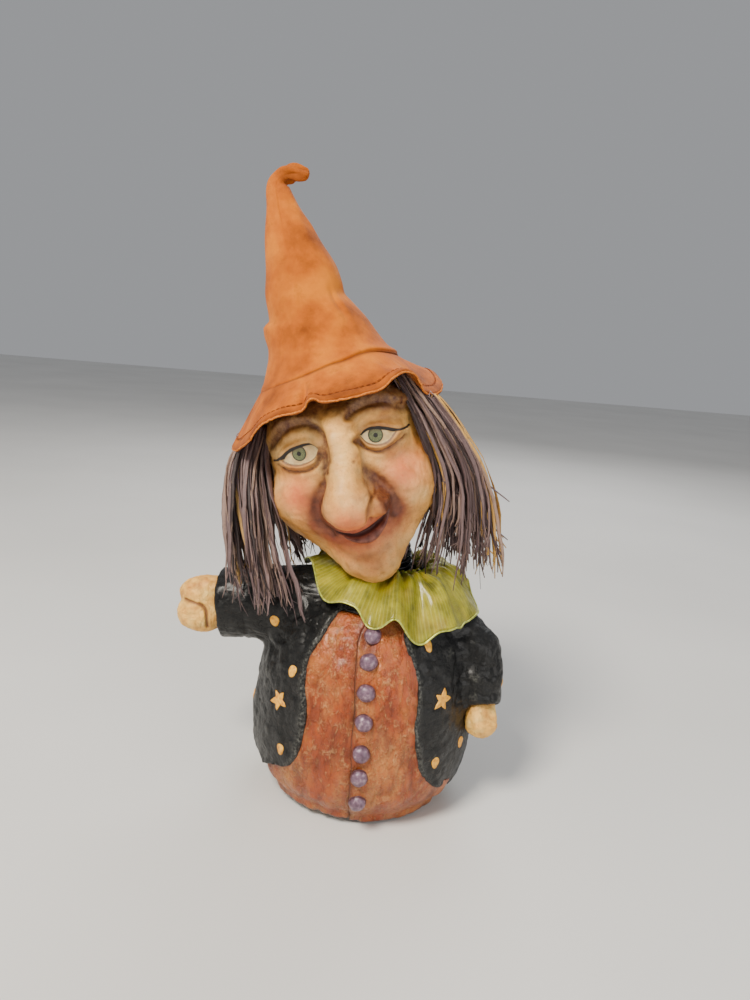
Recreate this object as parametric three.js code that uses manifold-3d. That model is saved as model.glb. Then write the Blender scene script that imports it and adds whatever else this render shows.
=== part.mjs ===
// A nodding witch figure in papier-mache: a weighted gourd-shaped body with two sculpted arms,
// a coil-spring neck, and a large head with raffia hair and a tall felt hat.
// Millimetres, +Z up. The figure faces -Y, and left and right are as seen from its front (-X is left).
// The origin is the centre of the underside, on the surface that the figure stands on.
import * as THREE from "three";
import { mergeVertices } from "three/addons/utils/BufferGeometryUtils.js";
import Module from "manifold-3d";

const wasm = await Module();
wasm.setup();

// ---- driving dimensions ----
const GAP = 0.3; // between pieces that touch
const FACET_GAP = 1.0; // between nested curved walls, whose flat facets cut the corners
const SKIN = 3.2; // painted paper layers of jacket and vest
const WALL = 4.0; // body shell
const VEST_SINK = 1.0; // how far the vest lies below the jacket's face
const BODY_OUTLINE = [
  [47, 0], [53, 6], [60.5, 18], [64, 38], [62.5, 62], [59, 82], [52.5, 98], [44, 110], [34, 119], [23, 125], [14.5, 129],
]; // radius, height of the jacket's outer face
const NECK_X = 10.5; // the neck stands to the right of the body's centre line
const BODY_ROWS = [0.5, 6, 12, 19, 28, 39, 52, 66, 82, 96, 106, 113, 119, 124, 128.8]; // heights of the skin's facets
const JACKET_HEM_ROW = 1;
const VEST_TOP_ROW = 11;
const PLACKET_ANGLE = -6; // degrees from the front, where the two vest panels meet
const VEST_EDGE = [
  [4, -60, 53], [14, -52, 46], [26, -40, 33], [42, -35.5, 28], [66, -33, 25], [90, -35, 24], [113, -35, 21],
]; // height, left edge, right edge, in degrees from the front
const PANEL_GAP = 0.6; // degrees between neighbouring panels
const BASE_RADIUS = 40;
const BASE_THICKNESS = 3;
const BALLAST_TOP = 24;
const CORE_ROWS = [4, 10];

const BUTTON_RADIUS = 4.6;
const BUTTON_RISE = 3.2;
const BUTTON_Z = [107, 95.5, 81, 66, 49.5, 36, 20];

const PLUG_RADIUS = 10.2;
const DOWEL_RADIUS = 7.4;
const NECK_PLUG_Z = 100;
const NECK_SEAT_Z = 126;
const SPRING_WIRE = 1.2; // radius
const SPRING_RADIUS = 10.8; // to the middle of the wire
const SPRING_PITCH = 3.0;
const SPRING_PATH = [[10.5, 0, 128.2], [9.4, 0, 140.6], [0.5, 0, 167]];

const HEAD_AT = [-16.4, 0, 193.2];
const HEAD_ROLL = 18; // degrees, the crown leaning to the left
const HEAD_YAW = -5; // degrees, the face turned a little to the left
const HEAD_LEVELS = [
  [-63, 0, -37, 0], [-60.5, 9.5, -35.5, 7.5], [-52, 21, -30, 16.5], [-44, 29.5, -19, 29], [-34, 37.5, -10, 38],
  [-21, 42, -3, 45], [-4, 43.5, 0.5, 48], [12, 43.5, 2, 48.5], [26, 41, 1.5, 46], [36, 36.5, 0, 40],
  [44, 30, -1, 32], [50, 20, -1.5, 21], [53, 0, -2, 0],
]; // height, half width, middle of the depth, half depth
const HEAD_HOLLOW = 0.89; // inner wall of the head against its outside
const HEAD_CORE = 0.86;
const HEAD_MIDDLE = [0, -2, -3]; // what the wall is measured from
const PLUG_X = 8.3; // the head plug, in the head's frame
const PLUG_TOP = -22.5;
const PLUG_FLANGE = 5.5;
const DOWEL_TIP = -40;
const MOUTH_RADIUS = 15.8; // hole under the head

const SEAM_RADIUS = 38.5; // where crown and brim are sewn together
const SEAM_Z = 43;
const FELT = 2.4;
const CROWN_PATH = [
  [-2, 0, 44.7], [-2.8, 0, 60], [-5, 0, 80], [-4.5, 0, 100], [-5.5, 0, 119], [-5.5, 0, 134], [-4.3, 0, 145],
  [3, 0, 148], [12.5, 0, 145.5],
];
const CROWN_RADIUS = [38.3, 30, 23, 18.3, 13, 8, 5.2, 4.2, 4.6];
const CROWN_LINING_END = 0.6; // share of the crown that is hollow
const BRIM_REACH = 60;

const COLLAR_AT = [12.5, 0];
const COLLAR_INNER = 16;
const COLLAR_REACH = 47;
const COLLAR_TOP_Z = 130.6;
const COLLAR_SHEET = 2.2;
const COLLAR_EDGE_Z = [112.5, 105.5, 112, 121, 125, 130, 132, 122]; // from the front, every 45 degrees

const material = (color, roughness, metalness = 0) =>
  new THREE.MeshStandardMaterial({ color, roughness, metalness });
const PAINT = {
  jacket: material(0x25231f, 0.45),
  vest: material(0xa55528, 0.5),
  skin: material(0xd7a56b, 0.6),
  button: material(0x6e5a73, 0.45),
  hat: material(0xc46e32, 0.9),
  hair: material(0x78646a, 0.85),
  collar: material(0x96a028, 0.4),
  edge: material(0xc8d45a, 0.35, 0.3),
  spring: material(0x17171a, 0.25, 0.8),
  wood: material(0xb08a5a, 0.7),
  plaster: material(0xd8d4ca, 0.9),
  newsprint: material(0xb8b4a8, 0.95),
  wire: material(0x8c8c90, 0.4, 0.9),
};

// ---- geometry helpers ----
const radians = THREE.MathUtils.degToRad;
const vector = (point) => new THREE.Vector3(...point);
const smooth = (x, low, high) => THREE.MathUtils.smoothstep(x, low, high);

// Merges shared corners, drops the empty triangles at poles and turns the faces outwards.
function closed(geometry) {
  const bare = geometry.clone();
  bare.deleteAttribute("normal");
  bare.deleteAttribute("uv");
  const merged = mergeVertices(bare, 1e-3);
  const corner = (i) => new THREE.Vector3().fromBufferAttribute(merged.attributes.position, i);
  const kept = [];
  let volume = 0;
  for (let i = 0; i < merged.index.count; i += 3) {
    const [a, b, c] = [0, 1, 2].map((k) => merged.index.getX(i + k));
    if (a === b || b === c || a === c) continue;
    kept.push([a, b, c]);
    volume += corner(a).dot(corner(b).cross(corner(c)));
  }
  merged.setIndex(kept.flatMap(([a, b, c]) => (volume < 0 ? [a, c, b] : [a, b, c])));
  return merged;
}

function solid(geometry) {
  const shape = closed(geometry);
  return new wasm.Manifold(
    new wasm.Mesh({
      numProp: 3,
      vertProperties: new Float32Array(shape.attributes.position.array),
      triVerts: new Uint32Array(shape.index.array),
    }),
  );
}

function fromSolid(body) {
  const mesh = body.getMesh();
  return new THREE.BufferGeometry()
    .setAttribute("position", new THREE.BufferAttribute(mesh.vertProperties, 3))
    .setIndex(new THREE.BufferAttribute(mesh.triVerts, 1));
}

const cut = (from, ...tools) => fromSolid(tools.reduce((rest, tool) => rest.subtract(solid(tool)), solid(from)));
const join = (...parts) => fromSolid(parts.map(solid).reduce((whole, part) => whole.add(part)));

// Moves each corner of a geometry to place(x, y, z).
function shaped(geometry, place) {
  const corners = geometry.attributes.position;
  for (let i = 0; i < corners.count; i++) {
    corners.setXYZ(i, ...place(corners.getX(i), corners.getY(i), corners.getZ(i)));
  }
  return geometry;
}

// A turned solid about +Z from [radius, height] points.
function turned(points, segments) {
  const outline = points.map(([r, z]) => new THREE.Vector2(r, z));
  return new THREE.LatheGeometry(outline, segments).rotateX(Math.PI / 2);
}

// Bends a solid that stands on z from 0 to 1 along a curve; its x and y stay millimetres across the curve.
function bent(geometry, curve) {
  return shaped(geometry, (x, y, z) => {
    const t = THREE.MathUtils.clamp(z, 0, 1);
    const along = curve.getTangent(t);
    const side = new THREE.Vector3(0, 1, 0).cross(along).normalize();
    const front = along.clone().cross(side);
    return curve.getPoint(t).addScaledVector(side, x).addScaledVector(front, y).toArray();
  });
}

// A closed ring: section is a loop of [share of the way out, height], place(angle, share, height) puts it.
function ring(section, segments, place) {
  const loop = [...section, section[0]].map(([s, h]) => [s + 1, h]);
  return shaped(turned(loop, segments), (x, y, z) => place(Math.atan2(x, -y), Math.hypot(x, y) - 1, z));
}

// Smooth value of a table [key, value, ...] at a key.
function tabled(table, key, column = 1) {
  const last = table.length - 1;
  const i = THREE.MathUtils.clamp(table.findIndex((row) => row[0] > key) - 1, 0, last - 1);
  const j = key >= table[last][0] ? last - 1 : i;
  const t = THREE.MathUtils.clamp((key - table[j][0]) / (table[j + 1][0] - table[j][0]), 0, 1);
  const at = (k) => table[THREE.MathUtils.clamp(k, 0, last)];
  const slope = (k) => {
    const [before, after] = [at(k - 1), at(k + 1)];
    return (after[column] - before[column]) / (after[0] - before[0]);
  };
  const span = table[j + 1][0] - table[j][0];
  const [a, b] = [table[j][column], table[j + 1][column]];
  const [h, k] = [t * t * (3 - 2 * t), t * (1 - t)];
  return a + (b - a) * h + span * k * ((1 - t) * slope(j) - t * slope(j + 1));
}

const group = new THREE.Group();
const head = new THREE.Group();
head.position.set(...HEAD_AT);
head.rotation.set(0, radians(-HEAD_ROLL), radians(HEAD_YAW), "YZX");
head.updateMatrix();
group.add(head);

function piece(name, geometry, paint, parent = group) {
  const mesh = new THREE.Mesh(closed(geometry), paint.clone());
  mesh.name = name;
  parent.add(mesh);
  return mesh;
}

// ---- body ----
const bodyLine = new THREE.SplineCurve(BODY_OUTLINE.map(([r, z]) => new THREE.Vector2(r, z)));
const BODY_STEPS = 240;
const bodySamples = Array.from({ length: BODY_STEPS + 1 }, (_, i) => {
  const point = bodyLine.getPoint(i / BODY_STEPS);
  const tangent = bodyLine.getTangent(i / BODY_STEPS);
  return { point, normal: new THREE.Vector2(tangent.y, -tangent.x) };
});

const neckShift = (z) => NECK_X * smooth(z, 102, 127);

// Radius and height of the body's outline at a height, sunk by inset along the outline's normal.
function outlineAt(z, inset = 0) {
  const found = bodySamples.find(({ point }) => point.y >= z) ?? bodySamples[BODY_STEPS];
  return [found.point.x - found.normal.x * inset, found.point.y - found.normal.y * inset];
}

function onBody(angle, z, inset) {
  const [r, height] = outlineAt(z, inset);
  return [neckShift(height) + r * Math.sin(angle), -r * Math.cos(angle), height];
}

const leaned = (geometry) => shaped(geometry, (x, y, z) => [x + neckShift(z), y, z]);
const heights = (low, high, count) => Array.from({ length: count + 1 }, (_, i) => low + ((high - low) * i) / count);

// The body's outline at its facet rows, sunk by inset, between two row numbers.
const outlineRows = (inset, first, last) => BODY_ROWS.slice(first, last + 1).map((z) => outlineAt(z, inset));

function bodySolid(inset, first, last, segments) {
  const side = outlineRows(inset, first, last);
  return leaned(turned([[0, side[0][1]], ...side, [0, side.at(-1)[1]]], segments));
}

// A curved panel of the body's skin between two edges, which are angles in degrees at a height.
function bodyPanel(first, last, leftEdge, rightEdge, outer, inner, columns) {
  return shaped(new THREE.BoxGeometry(1, 1, 1, columns, 1, last - first), (x, y, z) => {
    const height = BODY_ROWS[first + Math.round((z + 0.5) * (last - first))];
    const [left, right] = [radians(leftEdge(height)), radians(rightEdge(height))];
    return onBody(left + (right - left) * (x + 0.5), height, y < 0 ? outer : inner);
  });
}

function cylinder(radius, low, high, segments = 28) {
  return turned([[0, low], [radius, low], [radius, high], [0, high]], segments);
}

const shellOut = SKIN + FACET_GAP;
const shellIn = shellOut + WALL;
const leftEdge = (z) => tabled(VEST_EDGE, z, 1);
const rightEdge = (z) => tabled(VEST_EDGE, z, 2);

function makeBody() {
  piece("base_disc", cylinder(BASE_RADIUS, 0, BASE_THICKNESS, 36), PAINT.wood);
  piece("ballast_block", cylinder(BASE_RADIUS, BASE_THICKNESS + GAP, BALLAST_TOP, 28), PAINT.plaster);

  const neckHole = cylinder(PLUG_RADIUS + 2 * GAP, NECK_PLUG_Z - GAP, 140).translate(NECK_X, 0, 0);
  const core = bodySolid(shellIn + FACET_GAP, CORE_ROWS[0], CORE_ROWS[1], 24);
  piece("body_core", cut(core, neckHole), PAINT.newsprint);

  const top = BODY_ROWS.length - 1;
  const outside = outlineRows(shellOut, 0, top - 1);
  const inside = outlineRows(shellIn, 0, top - 1).reverse();
  outside[0] = [BASE_RADIUS + 2, 0];
  inside[inside.length - 1] = [BASE_RADIUS + 2 * GAP, 0];
  const shell = leaned(turned([...outside, ...inside, outside[0]], 26));
  piece("body_shell", cut(shell, neckHole), PAINT.newsprint);

  // The jacket is open at the front around the vest, and closed above it, under the collar.
  const [jacketLeft, jacketRight] = [(z) => rightEdge(z) + PANEL_GAP, (z) => 360 + leftEdge(z) - PANEL_GAP];
  const wrap = bodyPanel(JACKET_HEM_ROW, top, jacketLeft, jacketRight, 0, SKIN, 22);
  const seam = 5;
  const yoke = bodyPanel(VEST_TOP_ROW, top, (z) => leftEdge(z) - seam, (z) => rightEdge(z) + seam, 0, SKIN, 5);
  piece("jacket_shell", join(wrap, yoke.translate(0, 0, GAP)), PAINT.jacket);

  const placket = (side) => () => PLACKET_ANGLE + (side * PANEL_GAP) / 2;
  const vest = (from, to) => bodyPanel(0, VEST_TOP_ROW, from, to, VEST_SINK, SKIN, 4);
  piece("vest_left_panel", vest(leftEdge, placket(-1)), PAINT.vest);
  piece("vest_right_panel", vest(placket(1), rightEdge), PAINT.vest);
}

function makeButtons() {
  const dome = heights(0, 90, 3).map((a) => [BUTTON_RADIUS * Math.cos(radians(a)), BUTTON_RISE * Math.sin(radians(a))]);
  dome[3][0] = 0;
  BUTTON_Z.forEach((z, i) => {
    const button = piece(`button_${i + 1}`, turned([[0, 0], ...dome], 12), PAINT.button);
    const angle = Math.asin(1 / outlineAt(z)[0]);
    const back = vector(onBody(angle, z, VEST_SINK - 3 * GAP));
    const front = vector(onBody(angle, z, VEST_SINK - 2));
    button.position.copy(back);
    button.quaternion.setFromUnitVectors(new THREE.Vector3(0, 0, 1), front.sub(back).normalize());
  });
}

// ---- arms ----
// A sleeve follows its curve from inside the body to the cuff; the hand and its wire start at the cuff.
function makeArm(name, path, radii, wireStart, hand) {
  const curve = new THREE.CatmullRomCurve3(path.map(vector));
  const count = radii.length - 1;
  const side = radii.map((r, i) => [r, i / count]);
  const cuffDepth = 0.05;
  const wire = 1.2;
  const bore = wire + GAP;
  side.splice(count, 1, [radii[count], 1 - cuffDepth], [radii[count] - 1.2, 1]);
  const blind = [[bore, 1], [bore, wireStart - 0.03], [0, wireStart - 0.03]];
  const sleeve = bent(turned([[0, 0], ...side, ...blind], 18), curve);
  const bodyOutside = bodySolid(-FACET_GAP, 0, BODY_ROWS.length - 1, 26);
  piece(`${name}_sleeve`, cut(sleeve, bodyOutside), PAINT.jacket);

  const cuff = new THREE.Object3D();
  const end = curve.getPoint(1);
  cuff.position.copy(end);
  cuff.quaternion.setFromUnitVectors(new THREE.Vector3(0, 0, 1), curve.getTangent(1));
  cuff.updateMatrix();
  const grip = 12; // how far the wire reaches into the hand
  const socket = cylinder(bore, -1, grip + GAP, 12);
  const behind = new THREE.BoxGeometry(80, 80, 40).translate(0, 0, -20 + GAP);
  const lobes = join(...hand.map(([at, size]) => new THREE.SphereGeometry(1, 12, 8).scale(...size).translate(...at)));
  const bodyFromCuff = bodyOutside.clone().applyMatrix4(cuff.matrix.clone().invert());
  const palm = piece(`${name}_hand`, cut(lobes, behind, socket, bodyFromCuff), PAINT.skin);
  palm.position.copy(cuff.position);
  palm.quaternion.copy(cuff.quaternion);

  const inner = bent(turned([[0, wireStart], [wire, wireStart], [wire, 1], [0, 1]], 8), curve);
  const outer = cylinder(wire, -0.5, grip, 8).applyMatrix4(cuff.matrix);
  piece(`${name}_arm_wire`, join(inner, outer), PAINT.wire);
}

// ---- neck ----
function makeNeck() {
  const plug = [
    [0, NECK_PLUG_Z], [PLUG_RADIUS, NECK_PLUG_Z], [PLUG_RADIUS, NECK_SEAT_Z], [DOWEL_RADIUS, NECK_SEAT_Z],
    [DOWEL_RADIUS, NECK_SEAT_Z + 13], [DOWEL_RADIUS - 1.5, NECK_SEAT_Z + 15], [0, NECK_SEAT_Z + 15],
  ];
  piece("neck_plug", turned(plug, 20), PAINT.wood).position.set(NECK_X, 0, 0);

  const axis = new THREE.QuadraticBezierCurve3(...SPRING_PATH.map(vector));
  const turns = axis.getLength() / SPRING_PITCH;
  const stepsPerTurn = 9;
  const helix = new THREE.Curve();
  helix.getPoint = (t) => {
    const along = axis.getTangentAt(t);
    const side = new THREE.Vector3(0, 1, 0).cross(along).normalize();
    const turn = 2 * Math.PI * turns * t;
    return axis
      .getPointAt(t)
      .addScaledVector(side, SPRING_RADIUS * Math.cos(turn))
      .add(new THREE.Vector3(0, SPRING_RADIUS * Math.sin(turn), 0));
  };
  const wire = new THREE.Shape().absarc(0, 0, SPRING_WIRE, 0, 2 * Math.PI);
  const steps = Math.round(turns * stepsPerTurn);
  const coil = new THREE.ExtrudeGeometry(wire, { steps, extrudePath: helix, curveSegments: 3, bevelEnabled: false });
  piece("neck_spring", coil, PAINT.spring);

  const flange = [
    [0, DOWEL_TIP], [DOWEL_RADIUS - 1.5, DOWEL_TIP], [DOWEL_RADIUS, DOWEL_TIP + 2], [DOWEL_RADIUS, PLUG_TOP - PLUG_FLANGE],
    [15, PLUG_TOP - PLUG_FLANGE], [15, PLUG_TOP], [0, PLUG_TOP],
  ];
  piece("head_plug", turned(flange, 20), PAINT.wood, head).position.set(PLUG_X, 0, 0);
}

// ---- head ----
function onHead(angle, z, offset = 0) {
  const [width, middle, depth] = [1, 2, 3].map((column) => tabled(HEAD_LEVELS, z, column));
  return [(width + offset) * Math.sin(angle), middle - (depth + offset) * Math.cos(angle), z];
}

function headSolid(scale, segments, rows) {
  const [low, high] = [HEAD_LEVELS[0][0], HEAD_LEVELS.at(-1)[0]];
  const levels = heights(0, 180, rows).map((a) => (low + high) / 2 - ((high - low) / 2) * Math.cos(radians(a)));
  const sphere = levels.map((z, i) => [i % rows ? 1 : 0, z]);
  return shaped(turned(sphere, segments), (x, y, z) => {
    const pole = Math.hypot(x, y) < 0.5;
    const [px, py, pz] = onHead(Math.atan2(x, -y), z);
    const middle = tabled(HEAD_LEVELS, z, 2);
    const point = pole ? [0, middle, z] : [px, py, pz];
    return point.map((value, k) => HEAD_MIDDLE[k] + (value - HEAD_MIDDLE[k]) * scale);
  });
}

function makeHead() {
  const bridge = bent(
    turned([[0, 0], [5.5, 0], [7, 0.4], [9.5, 0.8], [8, 1], [0, 1]], 12),
    new THREE.LineCurve3(vector([0, -40, 24]), vector([0, -62, -18])),
  );
  const tip = new THREE.SphereGeometry(1, 12, 8).scale(12.5, 12.5, 11.5).translate(0, -63, -17.5);
  const wing = (x) => new THREE.SphereGeometry(7.5, 8, 6).translate(x, -52, -19);
  const outside = join(headSolid(1, 26, 16), bridge, tip, wing(-11), wing(11));
  const mouth = cylinder(MOUTH_RADIUS, -80, -36, 24).translate(PLUG_X, 0, 0);
  const head_shell = cut(outside, headSolid(HEAD_HOLLOW, 22, 12), mouth);
  piece("head_shell", head_shell, PAINT.skin, head);

  const seat = cylinder(MOUTH_RADIUS + GAP, -80, PLUG_TOP + 2 * GAP, 24).translate(PLUG_X, 0, 0);
  piece("head_core", cut(headSolid(HEAD_CORE, 20, 11), seat), PAINT.newsprint, head);
}

// ---- hair ----
// A hanging bundle: path in the figure's frame, half width along it, and how flat it is.
function makeBundle(name, path, widths, flatness) {
  const curve = new THREE.CatmullRomCurve3(path.map(vector));
  const count = widths.length - 1;
  const side = widths.map((w, i) => [w, i / count]);
  const bundle = turned([[0, 0], ...side, [0, 1]], 12);
  const strand = bent(shaped(bundle, (x, y, z) => [x, y * flatness, z]), curve);
  piece(name, strand, PAINT.hair);
}

function makeHair() {
  makeBundle("hair_left", [[-69.5, -6, 203], [-70.5, -14, 182], [-64, -26, 152], [-55.5, -33.5, 116]], [4, 7.5, 10, 11], 0.6);
  makeBundle("hair_right", [[24, -8, 225], [38.5, -12, 205], [45, -13, 180], [45, -12, 151]], [4.5, 7.5, 11.5, 15.5], 0.6);
  const back = shaped(new THREE.BoxGeometry(1, 1, 1, 12, 1, 6), (x, y, z) => {
    const angle = radians(180 + 150 * x);
    const level = -14 + 70 * z;
    const [px, py] = onHead(angle, Math.max(level, -12), y > 0 ? 1.5 : 8.5);
    return [px, py, level];
  });
  piece("hair_back", back, PAINT.hair, head);
}

// ---- hat ----
function makeHat() {
  const curve = new THREE.CatmullRomCurve3(CROWN_PATH.map(vector));
  const last = CROWN_RADIUS.length - 1;
  const radiusAt = (t) => tabled(CROWN_RADIUS.map((r, i) => [i / last, r]), t);
  const rows = heights(0, 1, 12);
  const outside = rows.map((t) => [radiusAt(t), t]);
  const lining = rows.filter((t) => t <= CROWN_LINING_END).map((t) => [radiusAt(t) - FELT, t]).reverse();
  const end = lining[0][1];
  const crown = turned([[0, end], [0, 1], ...outside.reverse(), ...lining.reverse(), [0, end]], 24);
  piece("hat_crown", bent(crown, curve), PAINT.hat, head);

  const edge = (a) => ({
    reach: BRIM_REACH + 1.5 * Math.cos(4 * a + 0.6),
    drop: SEAM_Z - 28 - 4.5 * Math.cos(2 * a) - 1.6 * Math.cos(5 * a),
  });
  const half = FELT / 2;
  const section = [[0, -half], [0.35, -half], [0.7, -half], [1, -half], [1, half], [0.7, half], [0.35, half], [0, half]];
  const brim = ring(section, 30, (angle, share, height) => {
    const { reach, drop } = edge(angle);
    const r = SEAM_RADIUS + (reach - SEAM_RADIUS) * share;
    return [-2 + r * Math.sin(angle), -r * Math.cos(angle), SEAM_Z - drop * Math.max(share, 0) ** 1.2 + height];
  });
  piece("hat_brim", brim, PAINT.hat, head);
}

// ---- collar ----
function collarEdgeZ(angle) {
  const turn = ((((angle * 4) / Math.PI) % 8) + 8) % 8;
  const i = Math.floor(turn);
  const [a, b] = [COLLAR_EDGE_Z[i], COLLAR_EDGE_Z[(i + 1) % 8]];
  return a + (b - a) * smooth(turn - i, 0, 1);
}

function onCollar(angle, share, height) {
  const r = COLLAR_INNER + (COLLAR_REACH - COLLAR_INNER) * share;
  const z = COLLAR_TOP_Z + (collarEdgeZ(angle) - COLLAR_TOP_Z) * Math.max(share, 0) ** 1.8;
  return [COLLAR_AT[0] + r * Math.sin(angle), COLLAR_AT[1] - r * Math.cos(angle), z + height];
}

function makeCollar() {
  const half = COLLAR_SHEET / 2;
  const section = [[0, -half], [0.35, -half], [0.7, -half], [1, -half], [1, half], [0.7, half], [0.35, half], [0, half]];
  piece("collar_ruffle", ring(section, 32, onCollar), PAINT.collar);
  const round = (share, lift, radius) =>
    heights(0, 270, 3).map((a) => [share + (radius / 31) * Math.cos(radians(a)), lift + radius * Math.sin(radians(a))]);
  piece("collar_gather_thread", ring(round(0.06, half + 1.2, 0.7), 20, onCollar), PAINT.collar);
  piece("collar_edge_wire", ring(round(1.045, 0, 0.6), 32, onCollar), PAINT.edge);
}

makeBody();
makeButtons();
makeArm("raised", [[-24, 0, 105.5], [-55, -1, 104.5], [-86, -1, 101.5]], [23, 22.3, 21.5, 20.6, 20], 0.55, [
  [[0, 0, 10], [15, 10.5, 16]],
  [[6, -3, 15], [9, 8.5, 12]],
]);
makeArm("lowered", [[36, 0, 98], [59, -8, 87], [65.5, -21, 60.5]], [19, 18.5, 17.2, 14.8, 11.8], 0.75, [
  [[0, 0, 9], [9.5, 7.5, 14]],
]);
makeNeck();
makeHead();
makeHair();
makeHat();
makeCollar();

export default group;
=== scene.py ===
"""The looks of a nodding papier-mache witch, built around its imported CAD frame.

Lengths are in millimetres until a mesh is made, and +Z is up. The figure faces -Y, and left and right are
as seen from its front. Shapes on the head are worked out in the head's own frame, which leans and turns.
"""

import itertools
import math

import bpy
import numpy as np
from mathutils import Matrix, Vector


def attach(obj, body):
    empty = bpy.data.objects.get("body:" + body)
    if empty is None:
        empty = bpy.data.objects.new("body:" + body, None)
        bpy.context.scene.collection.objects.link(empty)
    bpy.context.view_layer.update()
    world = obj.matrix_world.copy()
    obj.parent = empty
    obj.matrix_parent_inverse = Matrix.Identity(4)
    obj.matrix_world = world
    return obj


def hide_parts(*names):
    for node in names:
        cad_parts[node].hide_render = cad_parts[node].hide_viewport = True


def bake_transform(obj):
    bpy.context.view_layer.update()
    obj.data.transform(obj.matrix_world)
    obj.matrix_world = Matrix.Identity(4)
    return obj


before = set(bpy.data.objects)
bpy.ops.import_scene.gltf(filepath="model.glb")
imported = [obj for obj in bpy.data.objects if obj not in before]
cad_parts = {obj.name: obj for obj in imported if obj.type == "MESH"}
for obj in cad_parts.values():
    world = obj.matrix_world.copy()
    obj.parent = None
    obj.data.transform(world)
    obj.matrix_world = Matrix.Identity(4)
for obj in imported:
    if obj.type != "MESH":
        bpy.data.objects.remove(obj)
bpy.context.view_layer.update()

MM = 0.001

# ---- dimensions that the CAD model shares ----
SKIN = 3.2
VEST_SINK = 1.0
BODY_OUTLINE = [
    (47, 0), (53, 6), (60.5, 18), (64, 38), (62.5, 62), (59, 82), (52.5, 98), (44, 110), (34, 119), (23, 125),
    (14.5, 129),
]  # radius, height of the jacket's outer face
NECK_X = 10.5
VEST_EDGE = [
    (4, -80, 76), (14, -77, 72), (20, -68, 62), (26, -52, 45), (31, -42, 38), (42, -35.5, 32), (66, -33, 29),
    (90, -35, 29), (113, -35, 25),
]  # height, left edge, right edge, in degrees from the front
JACKET_EDGE = [
    (18, -60, 50), (24, -52, 41), (27.6, -45, 36.5), (31, -37, 33.5), (37, -31.6, 30.2), (43, -29.8, 28.3),
    (52, -28.5, 26.6), (61.6, -28, 25.2), (69, -28.6, 25.9), (75, -30.4, 26.8), (82, -31.9, 27), (90, -32, 26),
    (97, -31, 24.2), (104, -29, 22), (113, -31.5, 19.5),
]  # the same for the jacket's front edges, which lap over the vest's
PLACKET_ANGLE = -6
BUTTON_Z = [107, 95.5, 81, 66, 49.5, 36, 20]
RAISED_ARM = [(-24, 0, 105.5), (-55, -1, 104.5), (-86, -1, 101.5)]
RAISED_RADII = [23, 22.3, 21.5, 20.6, 20]
LOWERED_ARM = [(36, 0, 98), (59, -8, 87), (65.5, -21, 60.5)]
LOWERED_RADII = [19, 18.5, 17.2, 14.8, 11.8]
SPRING_PATH = [(10.5, 0, 128.2), (9.4, 0, 140.6), (0.5, 0, 167)]
SPRING_WIRE = 1.2
SPRING_RADIUS = 10.8
SPRING_PITCH = 3.0
HEAD_AT = (-16.4, 0, 193.2)
HEAD_ROLL = 18
HEAD_YAW = -5
PLUG_X = 8.3
SEAM_RADIUS = 38.5
SEAM_Z = 43
SEAM_LIFT = [
    (-180, 0), (-110, 0), (-75, 0), (-44, 1.2), (-13, 3), (11, 5.5), (22, 5.8), (35, 7), (49, 6.6), (67, 4),
    (83, 2), (110, 0), (180, 0),
]  # how far the hat's seam rises, at each angle from the front
CROWN_PATH = [
    (-2, 0, 43.3), (-2.8, 0, 60), (-5, 0, 80), (-4.5, 0, 100), (-5.5, 0, 119), (-5.5, 0, 134), (-4.3, 0, 145),
    (3, 0, 148), (12.5, 0, 145.5),
]
CROWN_RADIUS = [38.2, 30, 23, 18.3, 13, 8, 5.4, 3.9, 3.0]
COLLAR_AT = (12.5, 0)
COLLAR_INNER = 16
COLLAR_REACH = 47
COLLAR_TOP_Z = 130.6
COLLAR_EDGE_Z = [112.5, 105.5, 112, 121, 125, 130, 132, 122]  # from the front, every 45 degrees

# ---- looks that have no place in the CAD model ----
CAMERA_AT = (-2.6, -410, 255.5)
CAMERA_ROLL = 4.7
CAMERA_PITCH = 12
CAMERA_LENS = 27.04
LIGHTS = [
    ("key", (-0.5, -0.7, 1.1), (0, 0, 0.17), 0.42, 27, (1, 0.93, 0.82)),
    ("fill", (0.9, -0.8, 0.5), (0, 0, 0.17), 0.9, 6, (1, 0.97, 0.94)),
    ("back", (0.3, 1.1, 1.0), (0, 0, 0.2), 0.9, 9, (1, 1, 1)),
]  # name, place and aim in metres, size, watts, tint
WORLD_STRENGTH = 0.5
FLOOR_REACH = 4000
FLOOR_DROP = 0.05
LINER = (24, 17, 14)
RAFFIA_TONES = [
    (0.0, (46, 34, 34)), (0.25, (86, 68, 70)), (0.5, (122, 100, 98)), (0.74, (146, 120, 106)),
    (0.86, (184, 144, 84)), (1.0, (226, 172, 84)),
]  # a strand's tone: dyed up to 0.74, undyed past it
DYED_END = 0.74
THREAD_WAVES = 900.0
CLOTH_HALF = 0.7
ORGANZA_HALF = 0.16
STARS = [
    (-46.7, 64.8, 6.6, 0.1), (43.3, 73.5, 6.6, 0.25), (-120, 60, 6, 0.4), (165, 70, 6.4, 0),
    (110, 40, 6, 0.7),
]  # angle, height, size, turn
DOTS = [
    (-41.1, 82.8), (-41, 39.7), (39, 101), (39.6, 39.7), (60.3, 43.1), (-86, 48), (84, 24), (130, 84),
    (140, 30), (-140, 88), (-150, 34), (180, 44), (-168, 104),
]  # angle, height
SLEEVE_DOTS = [(-52, -22, 101), (-72, 6, 124), (-58, 22, 98), (77, -14, 72), (74, 2, 90), (60, 10, 100)]
BUTTON_PROFILE = [
    (0, 3.5), (1.4, 3.35), (2.7, 2.85), (3.7, 2.0), (4.35, 1.0), (4.6, 0.2), (4.65, -0.9), (3.4, -1.0),
    (0, -1.0),
]  # radius, rise
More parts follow.
